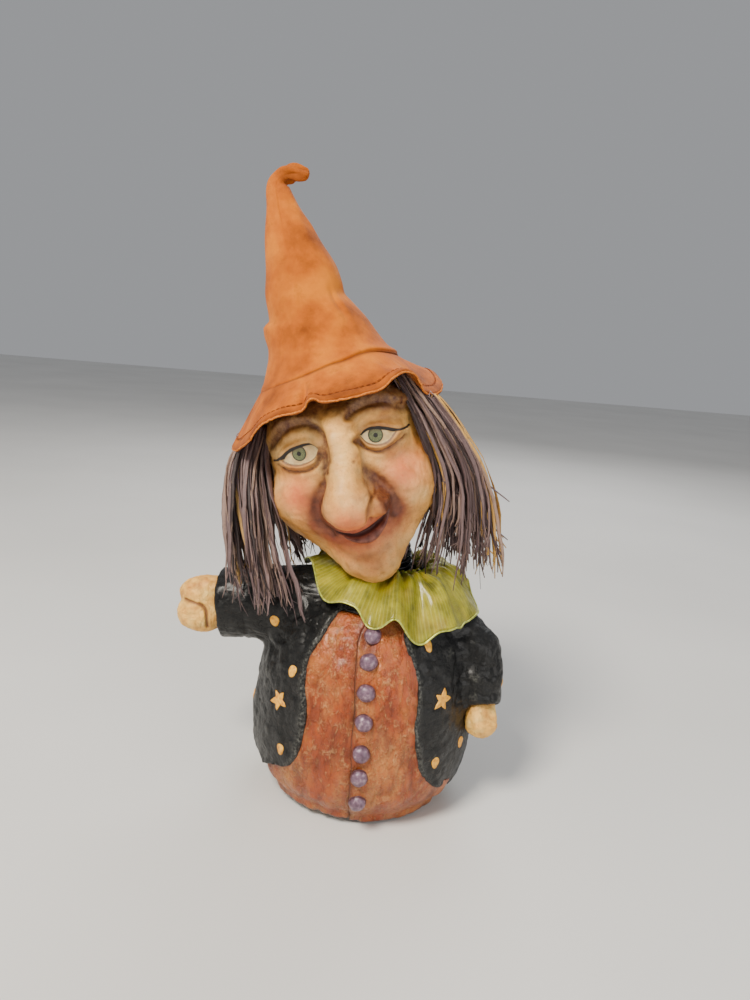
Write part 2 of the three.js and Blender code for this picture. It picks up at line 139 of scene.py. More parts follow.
MITTEN_CREASES = {
    "raised": [[(4.2, 19), (2.6, 12), (1.2, 8.5), (-2.5, 6.2), (-12, 6.4)]],
    "lowered": [[(-3.4, 6), (-3.6, 15)], [(0.4, 6), (0.6, 16)], [(4, 7), (4.2, 15)]],
}
LEFT_HAIR = [(-68.5, -6, 206), (-71.5, -14, 182), (-66, -25, 152), (-57.5, -31, 118)]
LEFT_HAIR_WIDTHS = [6.5, 9.5, 12, 13.5]
RIGHT_HAIR = [(5, -22, 243), (12, -25, 234), (27, -24, 214), (41, -20, 187), (44, -15, 151)]
RIGHT_HAIR_WIDTHS = [7, 8, 11, 13, 19]
STRAYS = [
    [(45, -22, 200), (55, -19, 187), (69, -17, 177)],
    [(32, -26, 187), (48, -24, 173), (70.5, -17, 156)],
]
FAR = 60.0  # a distance past the reach of any line drawn on the figure

# ---- number helpers ----


def vec(*values):
    return np.array(values, float)


def length(a):
    return np.sqrt((a * a).sum(axis=-1))


def unit(a):
    return a / np.maximum(length(a)[..., None], 1e-9)


def smooth_step(x, low, high):
    t = np.clip((x - low) / (high - low), 0, 1)
    return t * t * (3 - 2 * t)


def bell(x, width):
    return np.exp(-((x / width) ** 2))


def wrapped(degrees):
    """An angle in degrees, brought between -180 and 180."""
    return (degrees + 180) % 360 - 180


def away_from(angle, degrees):
    """How far an angle in radians is from a direction in degrees, in radians."""
    return np.abs((angle - np.radians(degrees) + np.pi) % (2 * np.pi) - np.pi)


def smooth_min(a, b, k):
    h = np.clip(0.5 + 0.5 * (b - a) / k, 0, 1)
    return b + (a - b) * h - k * h * (1 - h)


def smooth_max(a, b, k):
    return -smooth_min(-a, -b, k)


def lumps(points, size, seed=0):
    """Smooth random values from -1 to 1 that change over size millimetres."""
    cell = np.floor(points / size).astype(np.int64)
    part = points / size - cell
    part = part * part * (3 - 2 * part)
    total = np.zeros(len(points))
    for corner in itertools.product((0, 1), repeat=3):
        at = cell + np.array(corner)
        mixed = (at[:, 0] * 73856093) ^ (at[:, 1] * 19349663) ^ (at[:, 2] * 83492791)
        mixed = mixed ^ ((seed + 1) * 2654435761)
        mixed = ((mixed ^ (mixed >> 13)) * 1274126177) & 0xFFFFFFFF
        value = ((mixed ^ (mixed >> 16)) & 0xFFFF) / 32767.5 - 1
        total += value * np.prod(np.where(corner, part, 1 - part), axis=1)
    return total


def folds(points, size, seed=0):
    """Like lumps, but creased: sharp low lines between soft swellings, from -1 to 1."""
    return 2 * np.abs(lumps(points, size, seed)) ** 0.8 - 1


def spline(points, count):
    """count points along a smooth curve through the given ones, and nothing else."""
    p = np.array(points, float)
    p = np.vstack([2 * p[0] - p[1], p, 2 * p[-1] - p[-2]])
    at = np.linspace(0, len(points) - 1, count)
    i = np.minimum(at.astype(int), len(points) - 2)
    t = (at - i)[:, None]
    a, b, c, d = (p[i + k] for k in range(4))
    return 0.5 * (2 * b + (c - a) * t + (2 * a - 5 * b + 4 * c - d) * t**2 + (3 * b - a - 3 * c + d) * t**3)


def table(rows, column, count=200):
    """A smooth curve through a table's rows, as (keys, values) for np.interp."""
    line = spline([(row[0], row[column]) for row in rows], count)
    return line[:, 0], line[:, 1]


def segment_distance(points, a, b):
    """Distance from each point to the stretch from a to b, and the share along it."""
    along = b - a
    share = np.clip(((points - a) @ along) / max(along @ along, 1e-9), 0, 1)
    return length(points - a - share[:, None] * along), share


def line_distance(points, line):
    """Distance from each point to a polyline, and the share of the way along it."""
    line = np.array(line, float)
    best = np.full(len(points), 1e9)
    where = np.zeros(len(points))
    for i in range(len(line) - 1):
        d, share = segment_distance(points, line[i], line[i + 1])
        closer = d < best
        best = np.where(closer, d, best)
        where = np.where(closer, (i + share) / (len(line) - 1), where)
    return best, where


def inside_distance(points, outline):
    """Distance to a closed outline, positive inside it."""
    ring = np.vstack([outline, outline[:1]])
    edge, _ = line_distance(points, ring)
    x, y = points[:, 0], points[:, 1]
    inside = np.zeros(len(points), bool)
    for (ax, ay), (bx, by) in zip(ring[:-1], ring[1:]):
        if ay == by:
            continue
        crosses = (ay > y) != (by > y)
        inside ^= crosses & (x < ax + (y - ay) * (bx - ax) / (by - ay))
    return np.where(inside, edge, -edge)


def ellipsoid(points, centre, radii, turn=0):
    """Signed distance to an ellipsoid turned by turn degrees about Z."""
    q = points - np.array(centre, float)
    if turn:
        c, s = math.cos(math.radians(turn)), math.sin(math.radians(turn))
        q = np.stack([c * q[:, 0] + s * q[:, 1], -s * q[:, 0] + c * q[:, 1], q[:, 2]], axis=1)
    radii = np.array(radii, float)
    near = length(q / radii)
    return near * (near - 1) / np.maximum(length(q / radii**2), 1e-9)


def cone_distance(points, a, b, radius_a, radius_b):
    d, share = segment_distance(points, a, b)
    return d - (radius_a + (radius_b - radius_a) * share)


def slope(field, points, reach=0.2):
    """The outward direction of a distance field at each point."""
    parts = []
    for axis in np.eye(3) * reach:
        parts.append(field(points + axis) - field(points - axis))
    return unit(np.stack(parts, axis=1))


def settle(field, points, level=0.0, rounds=3):
    """Moves points onto the surface where a distance field has a level."""
    for _ in range(rounds):
        points = points - slope(field, points) * (field(points) - level)[:, None]
    return points


# ---- mesh helpers ----


def make_object(name, points, faces):
    mesh = bpy.data.meshes.new(name)
    faces = faces if isinstance(faces, list) else faces.tolist()
    mesh.from_pydata((np.asarray(points) * MM).tolist(), [], faces)
    mesh.update()
    mesh.shade_smooth()
    made = bpy.data.objects.new(name, mesh)
    bpy.context.scene.collection.objects.link(made)
    return made


def points_of(made):
    flat = np.empty(len(made.data.vertices) * 3)
    made.data.vertices.foreach_get("co", flat)
    return flat.reshape(-1, 3) / MM


def move_points(made, points):
    made.data.vertices.foreach_set("co", (points * MM).ravel())
    made.data.update()


def paint_field(made, name, values):
    """Stores a number or a vector for each point of a mesh, for its material to read."""
    values = np.asarray(values, float)
    kind, key = ("FLOAT", "value") if values.ndim == 1 else ("FLOAT_VECTOR", "vector")
    made.data.attributes.new(name, kind, "POINT").data.foreach_set(key, values.ravel())


def surface(field, low, high, step):
    """Points and quads of the surface where a distance field is zero, by naive surface nets."""
    axes = [np.arange(a, b + step, step) for a, b in zip(low, high)]
    grid = np.stack(np.meshgrid(*axes, indexing="ij"), axis=-1)
    shape = grid.shape[:3]
    value = field(grid.reshape(-1, 3)).reshape(shape)
    cells = tuple(n - 1 for n in shape)
    total, count = np.zeros(cells + (3,)), np.zeros(cells)
    crossings = []
    for axis in range(3):
        first = [slice(None)] * 3
        second = [slice(None)] * 3
        first[axis], second[axis] = slice(0, -1), slice(1, None)
        a, b = value[tuple(first)], value[tuple(second)]
        crossed = (a < 0) != (b < 0)
        share = np.where(crossed, a / np.where(crossed, a - b, 1), 0)
        at = grid[tuple(first)].copy()
        at[..., axis] += share * step
        crossings.append((crossed, a < 0))
        sides = [k for k in range(3) if k != axis]
        for shift in itertools.product((0, 1), repeat=2):
            pick = [slice(None)] * 3
            for side, s in zip(sides, shift):
                pick[side] = slice(s, shape[side] - 1 + s)
            pick = tuple(pick)
            total += np.where(crossed[pick][..., None], at[pick], 0)
            count += crossed[pick]
    used = count > 0
    index = np.full(cells, -1)
    index[used] = np.arange(used.sum())
    points = total[used] / count[used][:, None]
    quads = []
    for axis, (crossed, starts_inside) in enumerate(crossings):
        u, v = [(axis + 1) % 3, (axis + 2) % 3]
        where = np.argwhere(crossed)
        keep = (where[:, u] > 0) & (where[:, v] > 0) & (where[:, u] < cells[u]) & (where[:, v] < cells[v])
        where = where[keep]
        corners = []
        for du, dv in ((-1, -1), (0, -1), (0, 0), (-1, 0)):
            at = where.copy()
            at[:, u] += du
            at[:, v] += dv
            corners.append(index[tuple(at.T)])
        quad = np.stack(corners, axis=1)
        outward = starts_inside[tuple(where.T)]
        quads.append(np.where(outward[:, None], quad, quad[:, ::-1]))
    return points, np.vstack(quads)


def finer(made):
    """Replaces an object's mesh by its subdivision surface, one level down."""
    modifier = made.modifiers.new("finer", "SUBSURF")
    modifier.levels = 1
    modifier.boundary_smooth = "PRESERVE_CORNERS"
    evaluated = made.evaluated_get(bpy.context.evaluated_depsgraph_get())
    mesh = bpy.data.meshes.new_from_object(evaluated)
    made.modifiers.clear()
    made.data = mesh
    mesh.shade_smooth()
    return made


def carved(name, field, low, high, step):
    """An object whose surface is a distance field's zero, in the frame of the field."""
    points, quads = surface(field, low, high, step)
    made = finer(make_object(name, settle(field, points), quads))
    move_points(made, settle(field, points_of(made), rounds=2))
    return made


def grid_faces(rows, columns, wrap, start=0):
    """Quads of a grid of points kept row by row; wrap joins the last column to the first."""
    i, j = np.meshgrid(np.arange(rows - 1), np.arange(columns if wrap else columns - 1), indexing="ij")
    i, j = i.ravel(), j.ravel()
    k = (j + 1) % columns
    row = i * columns
    return start + np.stack([row + j, row + k, row + columns + k, row + columns + j], axis=1)


def slab(name, front, back, wrap=False):
    """A closed sheet between two grids of points with the same rows and columns."""
    rows, columns = front.shape[:2]
    points = np.vstack([front.reshape(-1, 3), back.reshape(-1, 3)])
    faces = [grid_faces(rows, columns, wrap), grid_faces(rows, columns, wrap, rows * columns)[:, ::-1]]
    across = np.arange(columns if wrap else columns - 1)
    beside = (across + 1) % columns
    behind = rows * columns
    faces.append(np.stack([beside, across, across + behind, beside + behind], axis=1))
    last = (rows - 1) * columns
    faces.append(np.stack([across, beside, beside + behind, across + behind], axis=1) + last)
    if not wrap:
        down = np.arange(rows - 1) * columns
        below = down + columns
        faces.append(np.stack([down, below, below + behind, down + behind], axis=1))
        faces.append(np.stack([below, down, down + behind, below + behind], axis=1) + columns - 1)
    return outward(make_object(name, points, np.vstack(faces)))


def outward(made):
    """Turns the faces of a closed mesh outwards."""
    mesh = made.data
    mesh.calc_loop_triangles()
    corners = np.empty(len(mesh.loop_triangles) * 3, int)
    mesh.loop_triangles.foreach_get("vertices", corners)
    a, b, c = (points_of(made)[corners.reshape(-1, 3)[:, k]] for k in range(3))
    if (a * np.cross(b, c)).sum() < 0:
        mesh.flip_normals()
    return made


def tube_parts(path, radii, sides=8, flat=1.0, across=None):
    """Points and faces of a closed tube. across gives the wide direction of a flattened one."""
    path = np.asarray(path, float)
    radii = np.broadcast_to(np.asarray(radii, float), len(path))
    along = unit(np.gradient(path, axis=0))
    if across is None:
        side = np.cross(along, vec(0.31, 0.92, 0.24))
        side = np.where(length(side)[:, None] < 0.05, np.cross(along, vec(1, 0, 0)), side)
    else:
        side = across - (across * along).sum(axis=1)[:, None] * along
    side = unit(side)
    other = np.cross(along, side)
    angle = np.linspace(0, 2 * np.pi, sides, endpoint=False)
    wide = np.cos(angle)[None, :, None] * side[:, None]
    thin = flat * np.sin(angle)[None, :, None] * other[:, None]
    points = (path[:, None] + radii[:, None, None] * (wide + thin)).reshape(-1, 3)
    faces = grid_faces(len(path), sides, True).tolist()
    faces.append(list(range(sides))[::-1])
    faces.append(list(range((len(path) - 1) * sides, len(path) * sides)))
    return points, faces


def joined(name, parts, field=None):
    """One closed object from (points, faces) parts; field names the third value that each part may have."""
    points, faces, start = [], [], 0
    for part in parts:
        points.append(part[0])
        faces += [[start + i for i in face] for face in part[1]]
        start += len(part[0])
    made = make_object(name, np.vstack(points), faces)
    if field:
        paint_field(made, field, np.concatenate([np.full(len(part[0]), part[2]) for part in parts]))
    return outward(made)


def finish_piece(made, body, replaced, paint):
    made.data.materials.clear()
    made.data.materials.append(paint)
    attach(made, body)
    if replaced:
        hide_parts(*replaced)
    return made


# ---- materials ----


def colour(red, green, blue):
    """A colour given as 0 to 255 screen values."""
    linear = [((v / 255 + 0.055) / 1.055) ** 2.4 if v > 10 else v / 255 / 12.92 for v in (red, green, blue)]
    return (*linear, 1)


class Paint:
    """A Principled material whose sockets are fed by small chains of nodes."""

    def __init__(self, name, **plain):
        self.material = bpy.data.materials.new(name)
        self.material.use_nodes = True
        self.tree = self.material.node_tree
        self.shader = self.tree.nodes["Principled BSDF"]
        self.place = self.tree.nodes.new("ShaderNodeTexCoord").outputs["Object"]
        for socket, value in plain.items():
            self.shader.inputs[socket.replace("_", " ")].default_value = value

    def node(self, kind, inputs=(), **settings):
        made = self.tree.nodes.new(kind)
        for key, value in settings.items():
            setattr(made, key, value)
        for key, value in dict(inputs).items():
            self.feed(made.inputs[key], value)
        return made

    def feed(self, socket, value):
        if isinstance(value, bpy.types.NodeSocket):
            self.tree.links.new(value, socket)
        else:
            socket.default_value = value

    def noise(self, size, detail=4.0, rough=0.55, stretch=(1, 1, 1), bend=0.0):
        """Noise from 0 to 1 that changes over size millimetres."""
        where = self.place
        if stretch != (1, 1, 1):
            where = self.node("ShaderNodeMapping", {"Vector": where, "Scale": stretch}).outputs["Vector"]
        inputs = {
            "Vector": where, "Scale": 1 / (size * MM), "Detail": detail, "Roughness": rough, "Distortion": bend,
        }
        return self.node("ShaderNodeTexNoise", inputs).outputs["Fac"]

    def ridges(self, size, stretch=(1, 1, 1)):
        """Thin raised wrinkles, as paper makes when it is pasted down: 1 on a wrinkle, falling away to 0."""
        height = self.math("ABSOLUTE", self.math("SUBTRACT", self.noise(size, 6, 0.62, stretch, 0.3), 0.5))
        return self.step(height, 0.05, 0.0)

    def cells(self, size, feature="F1"):
        inputs = {"Vector": self.place, "Scale": 1 / (size * MM)}
        return self.node("ShaderNodeTexVoronoi", inputs, feature=feature).outputs["Distance"]

    def field(self, name, output="Fac"):
        return self.node("ShaderNodeAttribute", attribute_name=name).outputs[output]

    def part(self, vector, axis):
        return self.node("ShaderNodeSeparateXYZ", {"Vector": vector}).outputs[axis]

    def step(self, value, low, high):
        """0 below low, 1 above high, smooth between; low above high turns it round."""
        inputs = {"Value": value, "From Min": low, "From Max": high}
        return self.node("ShaderNodeMapRange", inputs, interpolation_type="SMOOTHSTEP").outputs["Result"]

    def scale(self, value, low, high):
        inputs = {"Value": value, "To Min": low, "To Max": high}
        return self.node("ShaderNodeMapRange", inputs).outputs["Result"]

    def math(self, operation, *values):
        return self.node("ShaderNodeMath", dict(enumerate(values)), operation=operation).outputs[0]

    def product(self, first, *others):
        for other in others:
            first = self.math("MULTIPLY", first, other)
        return first

    def over(self, base, top, *shares):
        """A colour or another chain laid over base, by the product of the shares."""
        made = self.tree.nodes.new("ShaderNodeMix")
        made.data_type = "RGBA"
        if isinstance(top, tuple):
            top = colour(*top)
        for key, value in {"Factor": self.product(*shares), "A": base, "B": top}.items():
            sockets = [s for s in made.inputs if s.name == key and s.enabled]
            self.feed(sockets[0], value)
        return [s for s in made.outputs if s.enabled][0]

    def ramp(self, value, *stops):
        """A colour band: each stop is (place, colour)."""
        made = self.node("ShaderNodeValToRGB", {"Fac": value})
        while len(made.color_ramp.elements) < len(stops):
            made.color_ramp.elements.new(1)
        for element, (place, tint) in zip(made.color_ramp.elements, stops):
            element.position = place
            element.color = colour(*tint)
        return made.outputs["Color"]

    def bump(self, height, depth):
        """Adds relief depth millimetres deep to whatever relief the shader has."""
        inputs = {"Height": height, "Distance": depth * MM, "Strength": 1.0}
        normal = self.shader.inputs["Normal"]
        if normal.is_linked:
            inputs["Normal"] = normal.links[0].from_socket
        self.feed(normal, self.node("ShaderNodeBump", inputs).outputs["Normal"])

    def done(self, base, gloss, low, high, *reliefs):
        """Sets the colour, the roughness from low to high, and each (height, depth) of relief."""
        self.feed(self.shader.inputs["Base Color"], base)
        self.feed(self.shader.inputs["Roughness"], self.scale(gloss, low, high))
        for height, depth in reliefs:
            self.bump(height, depth)
        return self.material


def painted_eyes(p, base):
    """Lays the eyes over base: white, iris, pupil, the upper lid's shade, and the dark lines round them."""
    eye = p.field("eye", "Vector")
    within, above = p.part(eye, "X"), p.part(eye, "Y")
    iris_place = p.field("iris", "Vector")
    pupil = p.node("ShaderNodeVectorMath", {0: iris_place}, operation="LENGTH").outputs["Value"]
    white = p.ramp(p.noise(6, 4), (0.3, (178, 136, 78)), (0.6, (226, 198, 144)))
    spokes = p.noise(0.5, 3, 0.7)
    iris = p.ramp(spokes, (0.3, (72, 80, 48)), (0.6, (112, 118, 80)), (0.8, (158, 156, 112)))
    iris = p.over(iris, (30, 36, 28), p.step(pupil, 3.0, 3.9))
    iris = p.over(iris, (16, 14, 12), p.step(pupil, 1.45, 1.1))
    eyeball = p.over(white, iris, p.step(pupil, 4.25, 3.95))
    eyeball = p.over(eyeball, (110, 70, 44), p.step(above, 1.0, 5.0), p.step(within, 3.2, 0.0), 0.55)
    base = p.over(base, eyeball, p.step(within, 0.0, 0.25))
    edge = p.math("ADD", within, p.scale(p.noise(4, 2), -0.25, 0.25))
    line = p.math("ABSOLUTE", edge)
    base = p.over(base, (84, 56, 38), p.step(line, 0.45, 0.15), p.step(above, 0.3, -0.6), 0.75)
    base = p.over(base, LINER, p.step(line, 0.85, 0.45), p.step(above, -0.2, 0.7))
    return p.over(base, LINER, p.step(p.field("liner"), 0.75, 0.35))


def painted_mouth(p, base):
    """Lays the lower lip and the dark opening over base."""
    mouth = p.field("mouth", "Vector")
    opening, lip = p.part(mouth, "X"), p.part(mouth, "Y")
    lip_tint = p.ramp(p.noise(3, 4), (0.35, (84, 36, 28)), (0.65, (132, 74, 60)))
    base = p.over(base, lip_tint, p.step(lip, -0.2, 0.5))
    return p.over(base, (62, 18, 14), p.step(opening, -0.45, 0.15))


def skin_paint():
    """Cream paint over paper, its creases browned by a glaze and painted shade, with painted eyes, blush and
    lips.
    """
    p = Paint("painted_skin", Coat_Weight=0.12, Coat_Roughness=0.35)
    tone = p.noise(16, 4, 0.6)
    base = p.ramp(tone, (0.3, (212, 142, 62)), (0.48, (248, 186, 96)), (0.72, (254, 212, 134)))
    base = p.over(base, (176, 108, 56), p.step(p.noise(1.3, 4, 0.75), 0.52, 0.68), 0.42)
    scuff = p.noise(5, 5, 0.7)
    base = p.over(base, (216, 92, 50), p.field("blush"), p.scale(scuff, 0.45, 1.15))
    base = p.over(base, (150, 54, 24), p.field("mouth_wash"), p.scale(scuff, 0.5, 1.2))
    # The brown laid on here is partly an antique glaze in the creases and partly painted shade: painted shadow
    # from the brim on the forehead, and painted shade in the creases, under the jaw and at the face's sides.
    shade_and_wash = p.product(p.field("shade_and_wash"), p.scale(p.noise(3, 4, 0.7), 0.55, 1.3))
    base = p.over(base, (80, 32, 10), p.node("ShaderNodeClamp", {"Value": shade_and_wash}).outputs[0])
    base = painted_mouth(p, painted_eyes(p, base))
    grain, creases = p.noise(1.0, 5, 0.7), p.noise(5, 4, 0.6, bend=0.6)
    return p.done(base, p.noise(4, 4), 0.42, 0.68, (grain, 0.2), (creases, 0.5))


def hand_paint():
    p = Paint("painted_hands", Coat_Weight=0.1, Coat_Roughness=0.4)
    base = p.ramp(p.noise(9, 5), (0.3, (214, 142, 58)), (0.5, (255, 194, 92)), (0.75, (255, 222, 134)))
    # Brown in the creases and hollows, partly a glaze and partly painted shade, with painted shade at the wrist
    # inside the cuff.
    base = p.over(base, (112, 66, 36), p.field("shade_and_wash"))
    grain, creases = p.noise(1.1, 5, 0.7), p.noise(4, 4, 0.6, bend=0.8)
    return p.done(base, p.noise(3, 4), 0.5, 0.75, (grain, 0.2), (creases, 0.55), (p.ridges(6), 0.2))


def jacket_paint():
    """Satin black over lumpy paper, with grey painted highlights on the raised wrinkles and the upper front
    edges.
    """
    p = Paint("jacket_black", Specular_IOR_Level=0.3, Coat_Weight=0.22, Coat_Roughness=0.25)
    base = p.ramp(p.noise(7, 5, 0.65), (0.3, (3, 4, 4)), (0.6, (9, 9, 9)), (0.85, (22, 21, 19)))
    # Painted highlight: grey laid on the raised wrinkles and along the upper front edges, broken up by noise.
    base = p.over(base, (104, 104, 98), p.field("painted_highlight"), p.step(p.noise(1.3, 4, 0.75), 0.42, 0.68))
    base = p.over(base, (110, 106, 96), p.step(p.noise(0.9, 3, 0.8), 0.66, 0.76), 0.3)
    grain, creases = p.noise(1.0, 5, 0.7), p.noise(4.5, 4, 0.6, bend=0.8)
    return p.done(base, p.noise(2, 5, 0.7), 0.25, 0.7, (grain, 0.24), (creases, 0.8), (p.ridges(9), 0.4))


def vest_paint():
    """Burnt orange with pale gold wax in patches, painted highlights on the wrinkles' ridges, and darker edges
    and hollows.
    """
    p = Paint("vest_orange", Coat_Weight=0.2, Coat_Roughness=0.3, Metallic=0.12)
    upright = (1, 1, 0.5)
    tone = p.noise(11, 5, 0.65, upright)
    base = p.ramp(tone, (0.3, (112, 42, 8)), (0.5, (156, 66, 16)), (0.7, (180, 98, 34)))
    wax = p.step(p.noise(16, 4, 0.6, (1, 1, 0.35)), 0.42, 0.66)
    base = p.over(base, (214, 164, 92), wax, p.step(p.noise(1.2, 5, 0.8), 0.3, 0.75), 0.6)
    # Painted highlights along the ridges of the wrinkles.
    base = p.over(base, (236, 180, 116), p.ridges(7, upright), p.step(p.noise(5, 4, 0.7), 0.46, 0.62), 0.35)
    # Darker at the panel's edges and in the wrinkles' hollows: partly a brown glaze, partly painted shade.
    base = p.over(base, (64, 26, 10), p.field("shade_and_wash"))
    grain, creases, ridges = p.noise(0.9, 5, 0.7), p.noise(3.6, 4, 0.65, upright, 0.9), p.ridges(7, upright)
    return p.done(base, p.noise(2.2, 4), 0.26, 0.52, (grain, 0.2), (creases, 0.8), (ridges, 0.35))


def button_paint():
    p = Paint("button_purple", Coat_Weight=0.3, Coat_Roughness=0.25, Metallic=0.2)
    base = p.ramp(p.noise(2.2, 4), (0.3, (78, 56, 72)), (0.55, (120, 92, 110)), (0.8, (184, 158, 162)))
    # Darker round the foot of the dome: painted shade where the button meets the vest.
    base = p.over(base, (66, 34, 26), p.field("shade_and_wash"))
    return p.done(base, p.noise(1.4, 3), 0.25, 0.5, (p.noise(0.8, 4, 0.7), 0.15))


def gold_paint():
    p = Paint("star_yellow", Coat_Weight=0.1, Coat_Roughness=0.4)
    base = p.ramp(p.noise(1.8, 4), (0.3, (206, 128, 24)), (0.55, (244, 176, 50)), (0.8, (250, 204, 96)))
    return p.done(base, p.noise(1.2, 3), 0.4, 0.65, (p.noise(0.7, 4, 0.7), 0.15))


def hat_cloth():
    """Brushed orange cloth, mottled by a brown stain, with a short nap."""
    p = Paint("hat_orange_cloth", Sheen_Weight=0.06, Sheen_Roughness=0.6, Specular_IOR_Level=0.2)
    base = p.ramp(p.noise(24, 4, 0.6), (0.32, (130, 60, 0)), (0.5, (184, 92, 2)), (0.7, (216, 122, 6)))
    base = p.over(base, (124, 62, 6), p.step(p.noise(9, 5, 0.65), 0.55, 0.75), 0.4)
    grain = p.noise(0.55, 3, 0.8)
    base = p.over(base, (248, 150, 44), p.step(grain, 0.5, 0.8), 0.25)
    # Darker where make_crown and make_brim say: mostly painted shade and shadow (at the seam, in the dents,
    # under the brim), with the dark stitch line and back seam.
    base = p.over(base, (96, 42, 4), p.field("shade_and_wash"))
    weave = p.math("ADD", p.noise(0.35, 2, 0.6, (1, 1, 3.5)), p.noise(0.35, 2, 0.6, (3, 1, 1)))
    return p.done(base, grain, 0.82, 0.98, (weave, 0.12), (p.noise(7, 4, 0.6), 0.5))


def thread_paint(name, dark, pale):
    p = Paint(name, Specular_IOR_Level=0.3)
    base = p.ramp(p.noise(1.0, 4), (0.3, dark), (0.7, pale))
    return p.done(base, p.noise(0.7, 3), 0.75, 0.95, (p.noise(0.3, 3, 0.7), 0.08))


def raffia_paint():
    """Dyed raffia: purple-grey ribbons streaked brown, with undyed tan showing here and there."""
    p = Paint("raffia_purple", Specular_IOR_Level=0.45)
    base = p.ramp(p.field("strand"), *RAFFIA_TONES)
    streak = p.noise(1.1, 4, 0.7, (1, 1, 0.06))
    base = p.over(base, (50, 36, 34), p.step(streak, 0.5, 0.75), 0.6)
    base = p.over(base, (182, 146, 116), p.step(p.noise(2.4, 4, 0.7, (1, 1, 0.15)), 0.55, 0.75), 0.4)
    return p.done(base, streak, 0.45, 0.75, (p.noise(0.5, 3, 0.7, (1, 1, 0.08)), 0.25))


def organza_paint():
    """Sheer lime ribbon: fine threads across it, painted pale glints, painted shade in the folds, and a shift
    to yellow in patches.
    """
    p = Paint("organza_lime", Alpha=0.85, Coat_Weight=0.4, Coat_Roughness=0.15, Metallic=0.25)
    base = p.ramp(p.noise(9, 4), (0.3, (106, 104, 6)), (0.5, (164, 158, 16)), (0.72, (208, 196, 44)))
    base = p.over(base, (206, 170, 52), p.step(p.noise(14, 3), 0.5, 0.7), 0.35)
    # Painted shade deep in the folds.
    base = p.over(base, (82, 84, 4), p.field("valley"), 0.75)
    # Painted highlights: pale glints scattered by noise.
    base = p.over(base, (248, 240, 130), p.step(p.noise(1.5, 5, 0.8, bend=2.5), 0.6, 0.7), 0.5)
    threads = p.math("SINE", p.product(p.field("threads"), THREAD_WAVES))
    base = p.over(base, (230, 236, 140), p.scale(threads, 0.0, 0.14))
    crush = p.noise(1.4, 5, 0.8, bend=2.0)
    return p.done(base, p.noise(2.0, 4), 0.2, 0.5, (threads, 0.04), (crush, 0.5))


def foil_paint():
    p = Paint("wired_edge_pale", Metallic=0.5)
    base = p.ramp(p.noise(1.6, 4), (0.3, (140, 150, 40)), (0.7, (222, 226, 120)))
    return p.done(base, p.noise(0.8, 3), 0.25, 0.45, (p.noise(0.5, 3), 0.08))


def metal_paint(name, dark, pale, metallic):
    p = Paint(name, Metallic=metallic)
    base = p.ramp(p.noise(3, 5, 0.7), (0.35, dark), (0.75, pale))
    return p.done(base, p.noise(1.5, 4), 0.16, 0.42, (p.noise(0.7, 4), 0.05))


def rough_paint(name, tones, grain, relief, roughness=(0.7, 0.92), stretch=(1, 1, 1)):
    """Wood and plaster: two or three tones in a grain, with relief."""
    p = Paint(name)
    stops = [(0.3 + 0.4 * i / (len(tones) - 1), tone) for i, tone in enumerate(tones)]
    base = p.ramp(p.noise(grain, 5, 0.65, stretch, 0.4), *stops)
    return p.done(base, p.noise(grain / 2, 4), *roughness, (p.noise(grain / 3, 5, 0.7, stretch), relief))


def newsprint_paint():
    """Torn strips of grey paper glued on, with soft edges between the strips and a faint printed grey."""
    p = Paint("glued_newsprint")
    base = p.ramp(p.noise(14, 4), (0.3, (150, 142, 124)), (0.6, (188, 182, 166)), (0.8, (206, 200, 184)))
    base = p.over(base, (86, 82, 76), p.step(p.noise(0.8, 2, 0.5, (1, 1, 3.0)), 0.5, 0.62), 0.35)
    base = p.over(base, (222, 216, 200), p.step(p.cells(16, "DISTANCE_TO_EDGE"), 0.05, 0.0), 0.5)
    return p.done(base, p.noise(3, 4), 0.8, 0.96, (p.cells(16), 0.4), (p.noise(2, 5, 0.7), 0.3))


# ---- the head ----


def head_matrix():
    lean = Matrix.Rotation(math.radians(-HEAD_ROLL), 3, "Y")
    turn = Matrix.Rotation(math.radians(HEAD_YAW), 3, "Z")
    return np.array(lean @ turn)


HEAD_TURN = head_matrix()


def from_head(points):
    return np.asarray(points, float) @ HEAD_TURN.T + np.array(HEAD_AT)


def to_head(points):
    return (np.asarray(points, float) - np.array(HEAD_AT)) @ HEAD_TURN


# Eyes, creases and mouth as (x, z) on the face, seen from its front.
LEFT_EYE_TOP = [(-30, 9.8), (-27.4, 12.3), (-23.6, 14.3), (-18, 15.4), (-12.4, 15.4), (-8.6, 12.4)]
LEFT_EYE_FOOT = [(-30, 9.8), (-27.2, 7.6), (-23.2, 6.2), (-18.7, 6.1), (-12.5, 7.8), (-8.6, 12.4)]
RIGHT_EYE_TOP = [(12.4, 14.2), (16.4, 16.2), (21.6, 15.9), (26, 14.2), (30.4, 12)]
RIGHT_EYE_FOOT = [(12.4, 14.2), (15, 10), (19.6, 7.6), (25, 8), (30.4, 12)]
LINER_TAILS = [
    [(26, 14.2), (30.4, 12.2), (35.6, 11.8)],
    [(-27.4, 12.3), (-32, 10.4), (-38, 9)],
]
IRISES = [(-19.8, 11.8), (20, 12.6)]
BROWS = [
    [(-37.7, 17), (-29.7, 22), (-22.1, 25.6), (-13.1, 25.6), (-7.5, 22.8), (-4.8, 17), (-4.4, 9), (-5.6, 2)],
    [(10, 24.8), (15.5, 27.8), (22.7, 28.4), (29.5, 26.6), (34.6, 22)],
]
BAGS = [
    [(-34, 7.2), (-28.6, 3.6), (-19.7, 2.2), (-12.5, 4), (-7.6, 8.6)],
    [(11, 12.6), (13.8, 7), (19.4, 3.8), (26.6, 4.6), (33.4, 8.4)],
]
